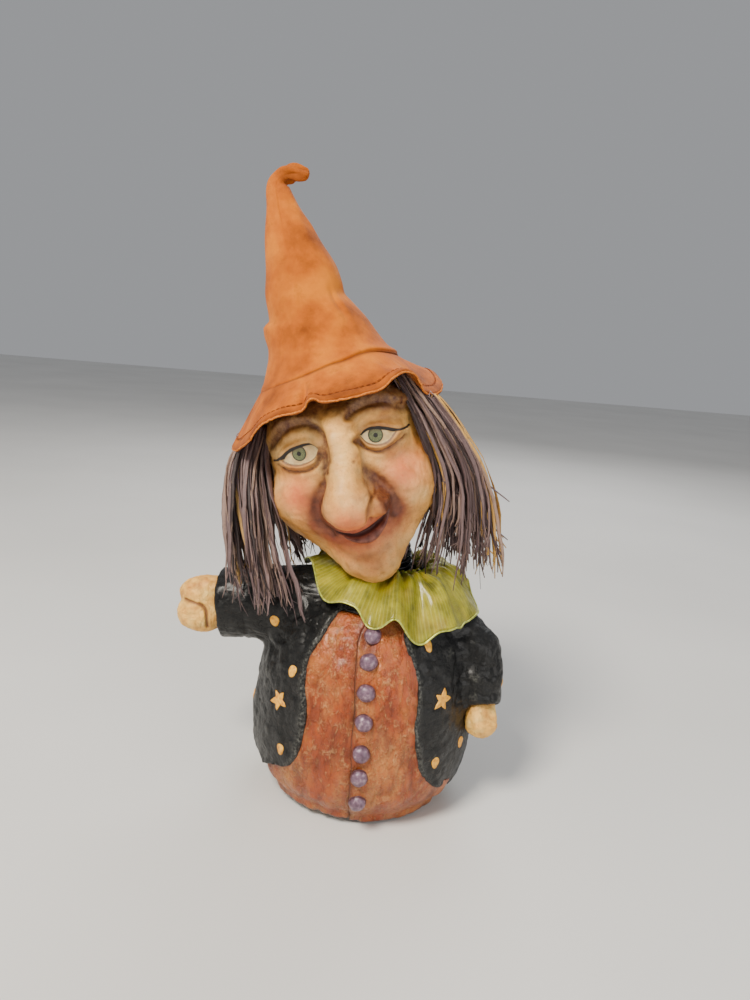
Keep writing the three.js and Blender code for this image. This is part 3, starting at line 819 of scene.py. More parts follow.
LAUGH_LINES = [
    [(-8.2, -2), (-13.6, -8.6), (-17.4, -15), (-19, -22), (-17.4, -28), (-14, -31.4)],
    [(10.6, 1), (13, -4), (16.2, -9.8), (19, -16.4), (20.6, -22.6), (20.4, -28)],
]
NOSE_SIDES = [
    [(-4.2, 14), (-6.4, 4), (-9.4, -5), (-12.6, -12), (-13.2, -20)],
    [(8.4, 14), (9.6, 4), (11.8, -4), (15.4, -12), (20.2, -20), (21.4, -26)],
]
MOUTH_TOP = [(-17, -26.6), (-10, -31), (-3, -33.4), (4, -32.4), (11, -29.6), (18.6, -25.6)]
MOUTH_FOOT = [(-17, -26.6), (-10, -32), (-3, -35.4), (4.6, -35.2), (11.6, -31.8), (16, -28.2), (18.6, -25.6)]
NOSTRIL = [(14.2, -13), (11.2, -19), (8.4, -27.4)]
LIP_FOOT = [(-9.4, -32.4), (-5, -36.8), (1.5, -39.6), (7.4, -39.2), (12.6, -35.2), (17.4, -28.4)]
CHIN_FOLD = [(-12.5, -43.6), (-4.5, -46.4), (3.7, -46.6), (12.3, -44.6)]
CHEEKS = [(-27, -9.5), (29.5, -8.5)]


def almond(top, foot):
    """A closed outline from an upper and a lower line that share their ends."""
    return np.vstack([spline(top, 40), spline(foot, 40)[-2:0:-1]])


def head_field(p):
    """Distance to the bare shape of the head: skull, cheeks, muzzle, chin and nose."""
    skull, jaw = ellipsoid(p, (-1, 2, 12), (43.6, 48.5, 42)), ellipsoid(p, (-1.6, -2, -16), (43.8, 42, 32.5))
    d = smooth_min(skull, jaw, 12)
    d = smooth_min(d, cone_distance(p, vec(-26.5, -13, -23), vec(-3.4, -26.5, -49), 13.5, 13), 6)
    d = smooth_min(d, cone_distance(p, vec(29, -11, -22), vec(5.4, -26, -51), 13.5, 11.5), 6)
    d = smooth_min(d, ellipsoid(p, (-25, -21, -14), (18, 19, 17)), 9)
    d = smooth_min(d, ellipsoid(p, (25, -19, -15), (16, 19, 17)), 9)
    d = smooth_min(d, ellipsoid(p, (1, -29, -30), (21, 17.5, 16)), 7)
    d = smooth_min(d, ellipsoid(p, (2.4, -29, -50), (12, 12.5, 13.6)), 8)
    d = smooth_min(d, ellipsoid(p, (3, -25, 26), (34, 20, 9)), 10)
    for x in (-20, 20):
        d = smooth_max(d, -ellipsoid(p, (x, -53, 11), (13, 11, 10), x * 1.1), 6)
        d = smooth_min(d, ellipsoid(p, (x * 1.02, -31.5, 11), (14.5, 11.5, 11.5), x * 1.1), 3)
    nose = cone_distance(p, vec(4.2, -45, 24), vec(1, -55, -12), 6.6, 10.2)
    nose = smooth_min(nose, ellipsoid(p, (0.6, -55.5, -17), (12.2, 12, 12)), 4)
    nose = smooth_min(nose, ellipsoid(p, (-8.5, -47.5, -17), (6.5, 9, 8)), 3)
    nose = smooth_min(nose, ellipsoid(p, (12.8, -46.5, -20), (8.5, 9.5, 6.6), 12), 2.5)
    d = smooth_min(d, nose, 5)
    neck = np.hypot(p[:, 0] - PLUG_X, p[:, 1]) - 15.4
    return smooth_max(d, -np.maximum(neck, p[:, 2] + 22), 1.5)


def face_lines(p):
    """Distances that the face's relief and its paint share."""
    flat = p[:, [0, 2]]
    front = p[:, 1] < -8
    far = np.where(front, 0, FAR)
    eyes = [(LEFT_EYE_TOP, LEFT_EYE_FOOT), (RIGHT_EYE_TOP, RIGHT_EYE_FOOT)]
    eye = np.maximum(*(inside_distance(flat, almond(*lids)) for lids in eyes)) - far
    left = p[:, 0] < 2
    middle = []
    for top, foot in eyes:
        upper, lower = spline(top, 60), spline(foot, 60)
        a, b = (np.interp(p[:, 0], line[:, 0], line[:, 1]) for line in (upper, lower))
        middle.append((a + b) / 2)
    above = p[:, 2] - np.where(left, *middle)
    hidden = np.maximum(-(p[:, 1] + 51.0), 0) * 3
    opening = inside_distance(flat, almond(MOUTH_TOP, MOUTH_FOOT)) - far - hidden
    lip = inside_distance(flat, almond(MOUTH_FOOT, LIP_FOOT)) - far - hidden

    def near(lines):
        found = [line_distance(flat, spline(line, 40)) for line in lines]
        best = np.minimum.reduce([d for d, _ in found])
        return best + far

    return {
        "eye": eye, "above": above, "opening": opening, "lip": lip, "brow": near(BROWS), "bag": near(BAGS),
        "laugh": near(LAUGH_LINES), "side": near(NOSE_SIDES), "chin": near([CHIN_FOLD]),
        "tail": near(LINER_TAILS), "left": left,
    }


def face_relief(p, lines):
    """How far the surface stands out from the bare shape."""
    eye, above = lines["eye"], lines["above"]
    brow_share = smooth_step(p[:, 2], -4, 8)
    relief = -0.9 * smooth_step(eye, -0.3, 0.4)
    relief += 1.15 * bell(eye + 1.5, 1.35) * smooth_step(above, -0.5, 1.5)
    relief += 0.85 * bell(eye + 1.1, 0.8) * smooth_step(-above, -0.5, 1.0)
    relief -= 0.7 * bell(lines["bag"], 0.8)
    relief += 0.5 * bell(lines["bag"] - 2.2, 1.6)
    relief -= 1.7 * bell(lines["brow"], 2.2) * brow_share
    relief += 0.8 * bell(lines["brow"] - 3.6, 2.2) * brow_share
    relief -= 1.7 * bell(lines["laugh"], 2.6) * smooth_step(-p[:, 2], -3, 10)
    relief -= 0.9 * bell(lines["chin"], 2.6)
    relief -= 2.4 * smooth_step(lines["opening"], -0.6, 0.9)
    relief += 1.5 * smooth_step(lines["lip"], -0.6, 1.8)
    crease, along = line_distance(p[:, [0, 2]], spline(NOSTRIL, 20))
    relief -= 1.1 * bell(crease + np.where(p[:, 1] < -40, 0, FAR), 0.9)
    calm = 1 - 0.8 * smooth_step(eye, -2, 0)
    relief += calm * (0.5 * folds(p, 13, 1) + 0.4 * lumps(p, 6, 2) + 0.22 * folds(p, 3.6, 3))
    return relief


def paint_face(made, p, lines):
    """Stores the fields that skin_paint reads."""
    flat = p[:, [0, 2]]
    front = smooth_step(-p[:, 1], 4, 16)
    blush = sum(0.95 * bell(length(flat - np.array(c)), 12.5) for c in CHEEKS)
    blush += 0.9 * bell(length((flat - vec(0, -34)) * vec(0.7, 1)), 14)
    blush += 0.5 * bell(length(p - vec(1, -66, -20)), 9) + 0.35 * bell(length(flat - vec(2, -54)), 9)
    paint_field(made, "blush", np.clip(blush * front, 0, 1))

    mouth_line, _ = line_distance(flat, spline(MOUTH_FOOT, 40))
    below = smooth_step(-p[:, 2], 14, 30)
    on_nose = smooth_step(-p[:, 1], 49.5, 53)
    ruddy = 1.0 * bell(mouth_line, 8.5) * below * (1 - on_nose) * front
    ruddy += 0.55 * bell(lines["laugh"], 7) * smooth_step(-p[:, 2], 0, 16) * front
    ruddy += 0.55 * bell(length((flat - vec(-18, -23)) * vec(1.3, 0.8)), 9) * (1 - on_nose) * front
    ruddy += 0.35 * bell(length((flat - vec(17, -36)) * vec(1, 0.8)), 8) * (1 - on_nose) * front
    paint_field(made, "mouth_wash", np.clip(ruddy, 0, 0.95))

    side_share = smooth_step(-p[:, 2], -20, 0) * (1 - 0.8 * on_nose)
    # Crease lines (brows, eye bags, laugh lines, nose sides, chin, nostril): a brown glaze together with
    # painted shade in the creases.
    shade_and_wash = 0.6 * bell(lines["brow"], 1.3) + 0.5 * bell(lines["brow"], 5)
    shade_and_wash += 0.65 * bell(lines["bag"], 0.8) + 0.22 * bell(lines["bag"], 3)
    deepening = smooth_step(-p[:, 2], -3, 13)
    shade_and_wash += (0.95 * bell(lines["laugh"], 3.2) + 0.45 * bell(lines["laugh"], 7)) * deepening
    shade_and_wash += 0.6 * bell(lines["side"], 2.6) * side_share * (1 - 0.5 * deepening)
    shade_and_wash += 0.25 * bell(lines["chin"], 2.2)
    crease, _ = line_distance(flat, spline(NOSTRIL, 20))
    shade_and_wash += 0.5 * bell(crease, 0.9) * smooth_step(-p[:, 1], 40, 46)
    # Painted shadow from the hat's brim over the forehead, and painted shade in a ring round the eye openings.
    shade_and_wash += 0.85 * smooth_step(p[:, 2], 20, 35) + 0.4 * bell(lines["eye"] + 1.2, 1.9)
    mole = length(flat - vec(8.6, 4.0)) + np.where(p[:, 1] < -30, 0, FAR)
    shade_and_wash += 0.7 * bell(mole, 0.7)
    # Painted shade under the jaw, towards the back.
    shade_and_wash += 0.6 * smooth_step(-p[:, 2], 30, 50) * smooth_step(p[:, 1], -26, -6)
    pits = np.clip(-lumps(p, 3.2, 9), 0, 1) * 0.25 + np.clip(-lumps(p, 14, 8), 0, 1) * 0.14
    # Painted shade towards the sides of the face, where it turns away from the light.
    shade_and_wash += 0.3 * smooth_step(length(flat - vec(1, -8)), 34, 47) * front
    paint_field(made, "shade_and_wash", np.clip(shade_and_wash + pits, 0, 0.95))

    centre = np.where(lines["left"][:, None], IRISES[0], IRISES[1])
    paint_field(made, "eye", np.stack([lines["eye"], lines["above"], 0 * p[:, 0]], axis=1))
    around = (flat - centre) * vec(1.06, 1)
    paint_field(made, "iris", np.stack([around[:, 0], around[:, 1], 0 * p[:, 0]], axis=1))
    paint_field(made, "mouth", np.stack([lines["opening"], lines["lip"], 0 * p[:, 0]], axis=1))
    paint_field(made, "liner", lines["tail"])


def make_head(paint):
    head = carved("painted_head", head_field, (-52, -76, -70), (52, 54, 60), 1.5)
    bare = points_of(head)
    lines = face_lines(bare)
    fine = bare + slope(head_field, bare) * face_relief(bare, lines)[:, None]
    move_points(head, from_head(fine))
    paint_face(head, bare, lines)
    return finish_piece(head, "head", ["head_shell"], paint)


# ---- the body ----

body_radii, body_keys = spline(BODY_OUTLINE, 240).T
vest_keys, vest_lefts = table(VEST_EDGE, 1)
_, vest_rights = table(VEST_EDGE, 2)
edge_keys, left_edges = table(JACKET_EDGE, 1)
_, right_edges = table(JACKET_EDGE, 2)


def neck_shift(z):
    return NECK_X * smooth_step(z, 102, 127)


def body_radius(z):
    return np.interp(z, body_keys, body_radii)


def body_slope(z):
    return body_radius(z + 0.5) - body_radius(z - 0.5)


def body_distance(p):
    r = np.hypot(p[:, 0] - neck_shift(p[:, 2]), p[:, 1])
    z = p[:, 2]
    return (r - body_radius(z)) / np.sqrt(1 + body_slope(z) ** 2)


def on_body(angle, z, inset):
    """The point at an angle in degrees from the front and a height, sunk below the jacket's face."""
    z = np.asarray(z, float)
    steep = body_slope(z)
    tilt = np.sqrt(1 + steep**2)
    r = body_radius(z) - inset / tilt
    height = z + inset * steep / tilt
    a = np.radians(angle)
    return np.stack([neck_shift(height) + r * np.sin(a), -r * np.cos(a), height + 0 * a], axis=-1)


def opening_distance(p):
    """Distance outside the jacket's front opening, negative within it."""
    x = p[:, 0] - neck_shift(p[:, 2])
    angle = np.degrees(np.arctan2(x, -p[:, 1]))
    left, right = np.interp(p[:, 2], edge_keys, left_edges), np.interp(p[:, 2], edge_keys, right_edges)
    beside = np.maximum(left - angle, angle - right)
    return np.maximum(np.radians(beside) * np.hypot(x, p[:, 1]), p[:, 2] - 114)


def arm(points, radii):
    path = spline(points, len(radii))
    return path, unit(path[-1] - path[-2])


RAISED = arm(RAISED_ARM, RAISED_RADII)
LOWERED = arm(LOWERED_ARM, LOWERED_RADII)


def sleeve_distance(p, made, radii):
    path, end = made
    parts = [cone_distance(p, path[i], path[i + 1], radii[i], radii[i + 1]) for i in range(len(radii) - 1)]
    d = np.minimum.reduce(parts)
    cuff = (p - path[-1]) @ end
    hollow = np.maximum(length(np.cross(p - path[-1], end)) - radii[-1] + 3.4, -cuff - 4.5)
    return smooth_max(smooth_max(d, cuff, 2.5), -hollow, 1.2)


def jacket_relief(p):
    relief = 0.8 * folds(p, 15, 11) + 0.65 * folds(p, 7.5, 12)
    relief = relief + 0.4 * folds(p, 3.6, 13) + 0.5 * lumps(p, 10, 14)
    armpits = sum(bell(length(p - np.array(c)), 15) for c in ((-48, -14, 86), (57, -20, 78)))
    return relief * (0.7 + 0.9 * armpits)


def jacket_bare(p):
    """Distance to the jacket before its wrinkles."""
    body = body_distance(p)
    arms = np.minimum(sleeve_distance(p, RAISED, RAISED_RADII), sleeve_distance(p, LOWERED, LOWERED_RADII))
    whole = smooth_min(body, arms, 7)
    opening = opening_distance(p)
    whole = whole - 0.8 * bell(opening - 2.6, 2.2)
    shell = smooth_max(whole, -(body + SKIN), 0.6)
    shell = smooth_max(shell, -opening, 2.2)
    angle = np.degrees(np.arctan2(p[:, 0], -p[:, 1]))
    hem = 8 + 1.2 * np.sin(np.radians(3 * angle) + 1)
    hem = hem + 12.5 * bell(angle + 58, 15) + 12.5 * bell(angle - 50, 14)
    shell = smooth_max(shell, hem - p[:, 2], 2)
    shell = smooth_max(shell, p[:, 2] - 128.6, 1)
    return smooth_min(shell, neck_flare(p), 2)


def neck_flare(p):
    """The ragged black collar stand round the foot of the spring."""
    x, y, z = p[:, 0] - NECK_X, p[:, 1], p[:, 2]
    turn = np.arctan2(y, x)
    r = np.hypot(x, y)
    top = 133 + 1.3 * np.sin(3 * turn + 1) + 0.7 * np.sin(7 * turn)
    wall = np.abs(r - 14.6 - 0.32 * (z - 126)) - 1.1
    return smooth_max(smooth_max(wall, z - top, 1), 121 - z, 1)


def make_jacket(paint):
    jacket = carved("sculpted_jacket", jacket_bare, (-92, -70, 2), (86, 70, 138), 1.95)
    bare = points_of(jacket)
    relief = jacket_relief(bare)
    out = slope(jacket_bare, bare)
    outside = smooth_step(body_distance(bare), -2.6, -1.0)
    move_points(jacket, bare + out * (relief * outside)[:, None])
    opening = opening_distance(bare)
    # Where the painted highlight goes: the raised wrinkles, and the front edges above the waist.
    painted_highlight = 0.9 * smooth_step(relief, 0.25, 1.0)
    painted_highlight += 0.85 * bell(opening - 1.6, 2.2) * smooth_step(bare[:, 2], 20, 40)
    paint_field(jacket, "painted_highlight", np.clip(painted_highlight * outside, 0, 1))
    nodes = ["jacket_shell", "raised_sleeve", "lowered_sleeve"]
    return finish_piece(jacket, "root", nodes, paint)


# ---- painted marks ----


def patch(place, outline, turn, rings=5, steps=60):
    """A thin raised patch of paint on the jacket; outline gives its radius at an angle."""
    seed_point = settle(jacket_bare, np.array([place], float), 0.3, 6)
    out = slope(jacket_bare, seed_point)[0]
    across = unit(np.cross(vec(0, 0, 1), out))
    up = np.cross(out, across)
    angle = np.linspace(0, 2 * np.pi, steps, endpoint=False)
    reach = outline(angle)
    share = np.linspace(0, 1, rings + 1)[1:]
    flat = share[:, None, None] * reach[None, :, None]
    spin = angle + turn
    spread = flat * (np.cos(spin)[None, :, None] * across + np.sin(spin)[None, :, None] * up)
    spots = np.vstack([seed_point, (seed_point[0] + spread).reshape(-1, 3)])
    spots = settle(jacket_bare, spots, 0.0, 4)
    normal = slope(jacket_bare, spots)
    height = jacket_relief(spots) * 0.97
    rise = np.concatenate([[0.45], np.repeat(0.45 * np.sqrt(1 - 0.8 * share**4), steps)])
    top = spots + normal * (height + rise)[:, None]
    foot = spots + normal * (height - 0.7)[:, None]
    count = len(spots)
    faces = []
    for start, flip in ((0, False), (count, True)):
        fan = [[start, start + 1 + i, start + 1 + (i + 1) % steps] for i in range(steps)]
        sheet = grid_faces(rings, steps, True, start + 1)[:, ::-1].tolist()
        faces += [face[::-1] if flip else face for face in fan + sheet]
    rim = 1 + (rings - 1) * steps
    for i in range(steps):
        k = (i + 1) % steps
        faces.append([rim + i, rim + i + count, rim + k + count, rim + k])
    return np.vstack([top, foot]), faces


def star_outline(size):
    """Radius of a hand-painted five-pointed star."""
    def radius(angle):
        wedge = np.abs(((angle + np.pi / 2) / (2 * np.pi / 5)) % 1 - 0.5) * 2
        uneven = 1 + 0.12 * np.sin(2 * angle + 1) + 0.06 * np.sin(5 * angle)
        return size * (0.42 + 0.58 * wedge**1.4) * uneven
    return radius


def dot_outline(width, height):
    """Radius of an uneven oval."""
    def radius(angle):
        oval = width * height / np.hypot(height * np.cos(angle), width * np.sin(angle))
        return oval * (1 + 0.06 * np.sin(3 * angle))
    return radius


def make_marks(paint):
    stars = []
    for angle, z, size, turn in STARS:
        stars.append(patch(on_body(angle, z, 0.0), star_outline(size), turn))
    finish_piece(joined("painted_stars", stars), "root", [], paint)
    places = [on_body(angle, z, 0.0) for angle, z in DOTS] + SLEEVE_DOTS
    dots = [patch(place, dot_outline(2.5, 3.2), 0, 4, 28) for place in places]
    finish_piece(joined("painted_dots", dots), "root", [], paint)


# ---- vest and buttons ----


def rounded(distance, thickness):
    """Share of its thickness that a sheet has near its edge, for a rounded rim."""
    t = np.clip(distance / (0.8 * thickness), 0, 1)
    return np.sqrt(np.maximum(1 - (1 - t) ** 2, 0.02))


def vest_panel(name, node, low_edge, high_edge, foot, lift, paint):
    """One front of the vest. The edges are angles at each height, foot its lowest height, lift its rise."""
    rows, columns = 110, 64
    z = foot + (115 - foot) * np.linspace(0, 1, rows)[:, None] ** 1.15
    share = np.linspace(0, 1, columns)[None, :]
    angle = low_edge(z) + (high_edge(z) - low_edge(z)) * share
    bare = on_body(angle + 0 * z, z + 0 * angle, VEST_SINK)
    flat = bare.reshape(-1, 3)
    wrinkles = 0.5 * folds(flat * vec(1, 1, 0.45), 8, 21) + 0.35 * folds(flat * vec(1, 1, 0.7), 3.8, 22)
    wrinkles = wrinkles + 0.45 * lumps(flat, 14, 23) + 0.25 * lumps(flat, 5.5, 24)
    wrinkles = wrinkles.reshape(rows, columns)
    from_side = np.radians(np.minimum(angle - low_edge(z), high_edge(z) - angle)) * body_radius(z)
    from_foot = z - foot + 0 * angle
    hem = 1.3 * bell(from_foot - 2.0, 2.4) - 0.5 * bell(from_foot - 6.5, 2.0)
    rim = rounded(from_foot, 3.0) * rounded(from_side, 1.8)
    tucked = 1.9 * smooth_step(np.abs(angle), 54, 68)
    rise = (lift + wrinkles + hem + 2.2) * rim - 2.2 - tucked
    front = on_body(angle + 0 * z, z + 0 * angle, VEST_SINK - rise)
    back = on_body(angle + 0 * z, z + 0 * angle, VEST_SINK + 2.4 + 0 * rise)
    made = slab(name, front, back)
    near_edge = np.minimum(from_side, from_foot)
    # Darker along the edges, where the panel meets the jacket, and in the hollows of the wrinkles: partly a
    # glaze, partly painted shade. The inner face gets a flat painted shade.
    shade_and_wash = 0.8 * bell(near_edge, 1.1) + 0.3 * bell(near_edge, 4) + 0.45 * np.clip(-wrinkles - 0.3, 0, 1)
    shade = np.concatenate([np.clip(shade_and_wash, 0, 0.9).ravel(), np.full(rows * columns, 0.6)])
    paint_field(made, "shade_and_wash", shade)
    return finish_piece(made, "root", [node], paint)


def make_vest(paint):
    def left(z):
        return np.interp(z, vest_keys, vest_lefts)

    def right(z):
        return np.interp(z, vest_keys, vest_rights)

    def placket(z):
        leaning = 0.055 * (z - 30) * smooth_step(z, 60, 112)
        return PLACKET_ANGLE + 1.8 - leaning + 0.5 * np.sin(z / 14) + 0.25 * np.sin(z / 5)

    def under(z):
        return placket(z) + 1.8

    vest_panel("vest_left_front", "vest_left_panel", left, under, 2.6, -0.15, paint)
    vest_panel("vest_right_front", "vest_right_panel", placket, right, 0.3, 0.65, paint)


def make_buttons(paint):
    """Seven half-round buttons modelled by hand, so each is a little uneven."""
    line = spline(BUTTON_PROFILE, 25)
    steps = 40
    for i, z in enumerate(BUTTON_Z):
        angle = math.degrees(math.asin(1 / float(body_radius(z))))
        at = on_body(angle, z, VEST_SINK - 0.9)
        out = unit(on_body(angle, z, -10) - on_body(angle, z, 0))
        across = unit(np.cross(vec(0, 0, 1), out))
        up = np.cross(out, across)
        turn = np.linspace(0, 2 * np.pi, steps, endpoint=False)
        uneven = 1 + 0.035 * np.sin(2 * turn + i) + 0.02 * np.sin(5 * turn + 2 * i)
        ring = np.cos(turn)[:, None] * across + np.sin(turn)[:, None] * up
        inner = line[1:-1]
        ring = ring * uneven[:, None]
        points = at + inner[:, 0, None, None] * ring[None] + inner[:, 1, None, None] * out
        ends = np.stack([at + line[0, 1] * out, at + line[-1, 1] * out])
        count = len(inner) * steps
        faces = grid_faces(len(inner), steps, True)[:, ::-1].tolist()
        faces += [[count, k, (k + 1) % steps] for k in range(steps)]
        last = (len(inner) - 1) * steps
        faces += [[count + 1, last + (k + 1) % steps, last + k] for k in range(steps)]
        made = joined(f"domed_button_{i + 1}", [(np.vstack([points.reshape(-1, 3), ends]), faces)])
        spots = points_of(made)
        dents = 0.16 * lumps(spots, 2.6, 31 + i)
        move_points(made, spots + dents[:, None] * out)
        rise = (spots - at) @ out
        # Painted shade in a ring round the foot of the dome, where it sits on the vest.
        paint_field(made, "shade_and_wash", np.clip(0.85 * bell(rise - 0.1, 0.55), 0, 1))
        finish_piece(made, "root", [f"button_{i + 1}"], paint)


# ---- hands ----


def cuff_frame(made):
    """Rotation from a cuff's own frame, whose z runs out of the sleeve, and its origin."""
    path, end = made
    turn = Vector((0, 0, 1)).rotation_difference(Vector(end)).to_matrix()
    return np.array(turn), path[-1]


def raised_hand(q):
    fingers = ellipsoid(q, (6.4, 0.5, 8), (9.8, 10, 15.4))
    palm = ellipsoid(q, (-5.4, -1.5, 10.5), (11.6, 10, 15))
    return smooth_min(smooth_min(fingers, palm, 3.5), ellipsoid(q, (0, 0, -2), (13, 9, 10)), 4)


def lowered_hand(q):
    size = vec(8.8, 6.2, 9.5) - 4.5
    box = np.abs(q - vec(-0.5, 0, 5.2)) - size
    block = length(np.maximum(box, 0)) + np.minimum(box.max(axis=1), 0) - 4.5
    return smooth_min(block, ellipsoid(q, (0.5, -1.0, 9), (9, 6.8, 9)), 3)


def make_hand(name, node, arm_made, field, creases, paint):
    turn, at = cuff_frame(arm_made)
    hand = carved(name, field, (-20, -15, -14), (20, 15, 28), 1.0)
    bare = points_of(hand)
    crease = np.full(len(bare), FAR)
    for line in creases:
        d, _ = line_distance(bare[:, [0, 2]], spline(line, 20))
        crease = np.minimum(crease, d + np.where(bare[:, 1] < 1, 0, FAR))
    relief = 0.35 * folds(bare, 6, 41) + 0.22 * folds(bare, 2.8, 42) - 1.2 * bell(crease, 0.9)
    move_points(hand, (bare + slope(field, bare) * relief[:, None]) @ turn.T + at)
    # Creases and hollows darker: partly a brown glaze, partly painted shade.
    shade_and_wash = 0.7 * bell(crease, 0.9) + 0.35 * np.clip(-relief * 1.4, 0, 1)
    # Painted shade at the wrist, where the hand goes into the sleeve.
    shade_and_wash += 0.5 * smooth_step(-bare[:, 2], -3, 1)
    paint_field(hand, "shade_and_wash", np.clip(shade_and_wash, 0, 0.9))
    return finish_piece(hand, "root", [node], paint)


def make_hands(paint):
    make_hand("raised_mitten", "raised_hand", RAISED, raised_hand, MITTEN_CREASES["raised"], paint)
    make_hand("lowered_mitten", "lowered_hand", LOWERED, lowered_hand, MITTEN_CREASES["lowered"], paint)


# ---- neck spring ----


def make_spring(paint):
    """A close coil of black wire in two halves."""
    a, b, c = (np.array(p, float) for p in SPRING_PATH)
    t = np.linspace(0, 1, 400)[:, None]
    line = (1 - t) ** 2 * a + 2 * t * (1 - t) * b + t**2 * c
    run = np.concatenate([[0], np.cumsum(length(np.diff(line, axis=0)))])
    turns = run[-1] / SPRING_PITCH
    steps = int(turns * 40)
    at = np.linspace(0, run[-1], steps)
    axis = np.stack([np.interp(at, run, line[:, k]) for k in range(3)], axis=1)
    along = unit(np.gradient(axis, axis=0))
    side = unit(np.cross(along, vec(0, 1, 0)))
    other = np.cross(along, side)
    angle = 2 * np.pi * at / SPRING_PITCH
    path = axis + SPRING_RADIUS * (np.cos(angle)[:, None] * side + np.sin(angle)[:, None] * other)
    middle = len(path) // 2
    foot, centre, head = (Vector(point * MM) for point in (a, axis[middle], c))
    halves = [
        ("spring_lower_coils", path[: middle + 1], "root", "neck_spring", foot, centre),
        ("spring_upper_coils", path[middle:], "neck_spring", "head_plug", centre, head),
    ]
    for name, part, low, high, start, end in halves:
        made = joined(name, [tube_parts(part, SPRING_WIRE, 10)])
        made.data.materials.append(paint)
        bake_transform(made)
        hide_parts("neck_spring")


# ---- collar ----


def collar_edge_height(angle):
    """Height of the collar's outer edge at an angle in radians from the front towards +X."""
    around = COLLAR_EDGE_Z[-3:] + COLLAR_EDGE_Z + COLLAR_EDGE_Z[:4]
    line = spline([(45.0 * (i - 3), z) for i, z in enumerate(around)], 600)
    return np.interp(np.degrees(angle) % 360, line[:, 0], line[:, 1])


def collar_surface(angle, share):
    """A point of the gathered ribbon and how deep in a fold it lies."""
    fine = np.sin(24 * angle + 1.6 * np.sin(3 * angle) + 0.9 * np.sin(5 * angle + 2) + 0.6)
    broad = np.sin(8 * angle + 1.5 * np.sin(2 * angle + 1) + 0.8 * np.sin(3 * angle) + 0.3)
    broad = broad * (0.8 + 0.35 * np.sin(3 * angle + 0.7))
    reach = COLLAR_REACH + 1.6 * np.sin(8 * angle + 2) + 1.2 * np.sin(3 * angle + 2)
    reach = reach + 4.0 * bell(np.sin((angle + 1.35) / 2), 0.35)
    r = COLLAR_INNER + (reach - COLLAR_INNER) * np.clip(share, -1, 2)
    gathered = np.exp(-np.clip(share, 0, 1) * 3.2)
    outer = smooth_step(share, 0.1, 1.0)
    edge = collar_edge_height(angle)
    puff = 4.6 * np.sin(np.pi * np.clip(share, 0, 1) ** 0.8)
    z = COLLAR_TOP_Z + (edge - COLLAR_TOP_Z) * np.clip(share, 0, 2) ** 1.8 + puff
    z = z + 1.9 * fine * gathered * smooth_step(share, -0.1, 0.12) + outer * (5.2 * broad + 0.35 * fine)
    crumple = np.sin(13 * angle + 6 * share + 1.5 * np.sin(4 * angle))
    z = z + 1.6 * crumple * np.sin(np.pi * np.clip(share, 0, 1))
    r = r + 0.9 * fine * (1 - outer)
    header = np.clip(-share, 0, 1)
    z = z + header * 8 * (1 + 0.4 * fine)
    r = r + header * 12
    point = np.stack([COLLAR_AT[0] + r * np.sin(angle), COLLAR_AT[1] - r * np.cos(angle), z], axis=-1)
    valley = np.clip(-0.5 * fine * (gathered + 0.1) - 0.45 * broad * outer, 0, 1)
    return point, valley


def make_collar(cloth, foil, thread):
    columns, rows = 504, 44
    angle = np.linspace(0, 2 * np.pi, columns, endpoint=False)[None, :]
    share = np.linspace(-0.2, 1, rows)[:, None]
    middle, valley = collar_surface(angle + 0 * share, share + 0 * angle)
    step_out = np.gradient(middle, axis=0)
    around = np.roll(middle, -1, axis=1) - np.roll(middle, 1, axis=1)
    normal = unit(np.cross(around, step_out))
    upper, lower = middle + ORGANZA_HALF * normal, middle - ORGANZA_HALF * normal
    collar = slab("organza_ruffle", upper, lower, wrap=True)
    paint_field(collar, "valley", np.tile(valley.ravel(), 2))
    threads = np.broadcast_to(angle / (2 * np.pi), (rows, columns)).ravel()
    paint_field(collar, "threads", np.tile(threads, 2))
    finish_piece(collar, "root", ["collar_ruffle"], cloth)

    turn = np.append(angle[0], 0.0)
    edge, _ = collar_surface(turn, np.full(len(turn), 1.005))
    wire = joined("wired_selvage", [tube_parts(edge, 0.55, 8)])
    finish_piece(wire, "root", ["collar_edge_wire"], foil)

    line, _ = collar_surface(turn, np.full(len(turn), 0.05))
    wraps = [tube_parts(line + vec(0, 0, lift), 0.35, 6) for lift in (0.45, 1.0)]
    gather = joined("gathering_thread", wraps)
    finish_piece(gather, "root", ["collar_gather_thread"], thread)


# ---- hair ----


def ribbon(path, width, across, tone):
    """One flat strip of raffia with a split, frayed end."""
    count = len(path)
    share = np.linspace(0, 1, count)
    frayed = np.where(share > 0.9, 1 - 0.3 * (share - 0.9) / 0.1, 1)
    taper = width * (0.75 + 0.25 * np.sin(np.pi * share)) * frayed
    points, faces = tube_parts(path, taper / 2, 6, 0.14, across)
    return points, faces, tone


def under_brim(path):
    """Keeps a strand below the brim of the hat."""
    local = to_head(path)
    angle = np.arctan2(local[:, 0] + 2, -local[:, 1])
    rim = brim_point(angle, np.ones(len(path)))
    reach = np.hypot(rim[:, 0] + 2, rim[:, 1])
    share = (np.hypot(local[:, 0] + 2, local[:, 1]) - SEAM_RADIUS) / (reach - SEAM_RADIUS)
    roof = brim_point(angle, np.clip(share, 0, 1))[:, 2] - 1.9
    local[:, 2] = np.where(share < 1.06, np.minimum(local[:, 2], roof), local[:, 2])
    return from_head(local)


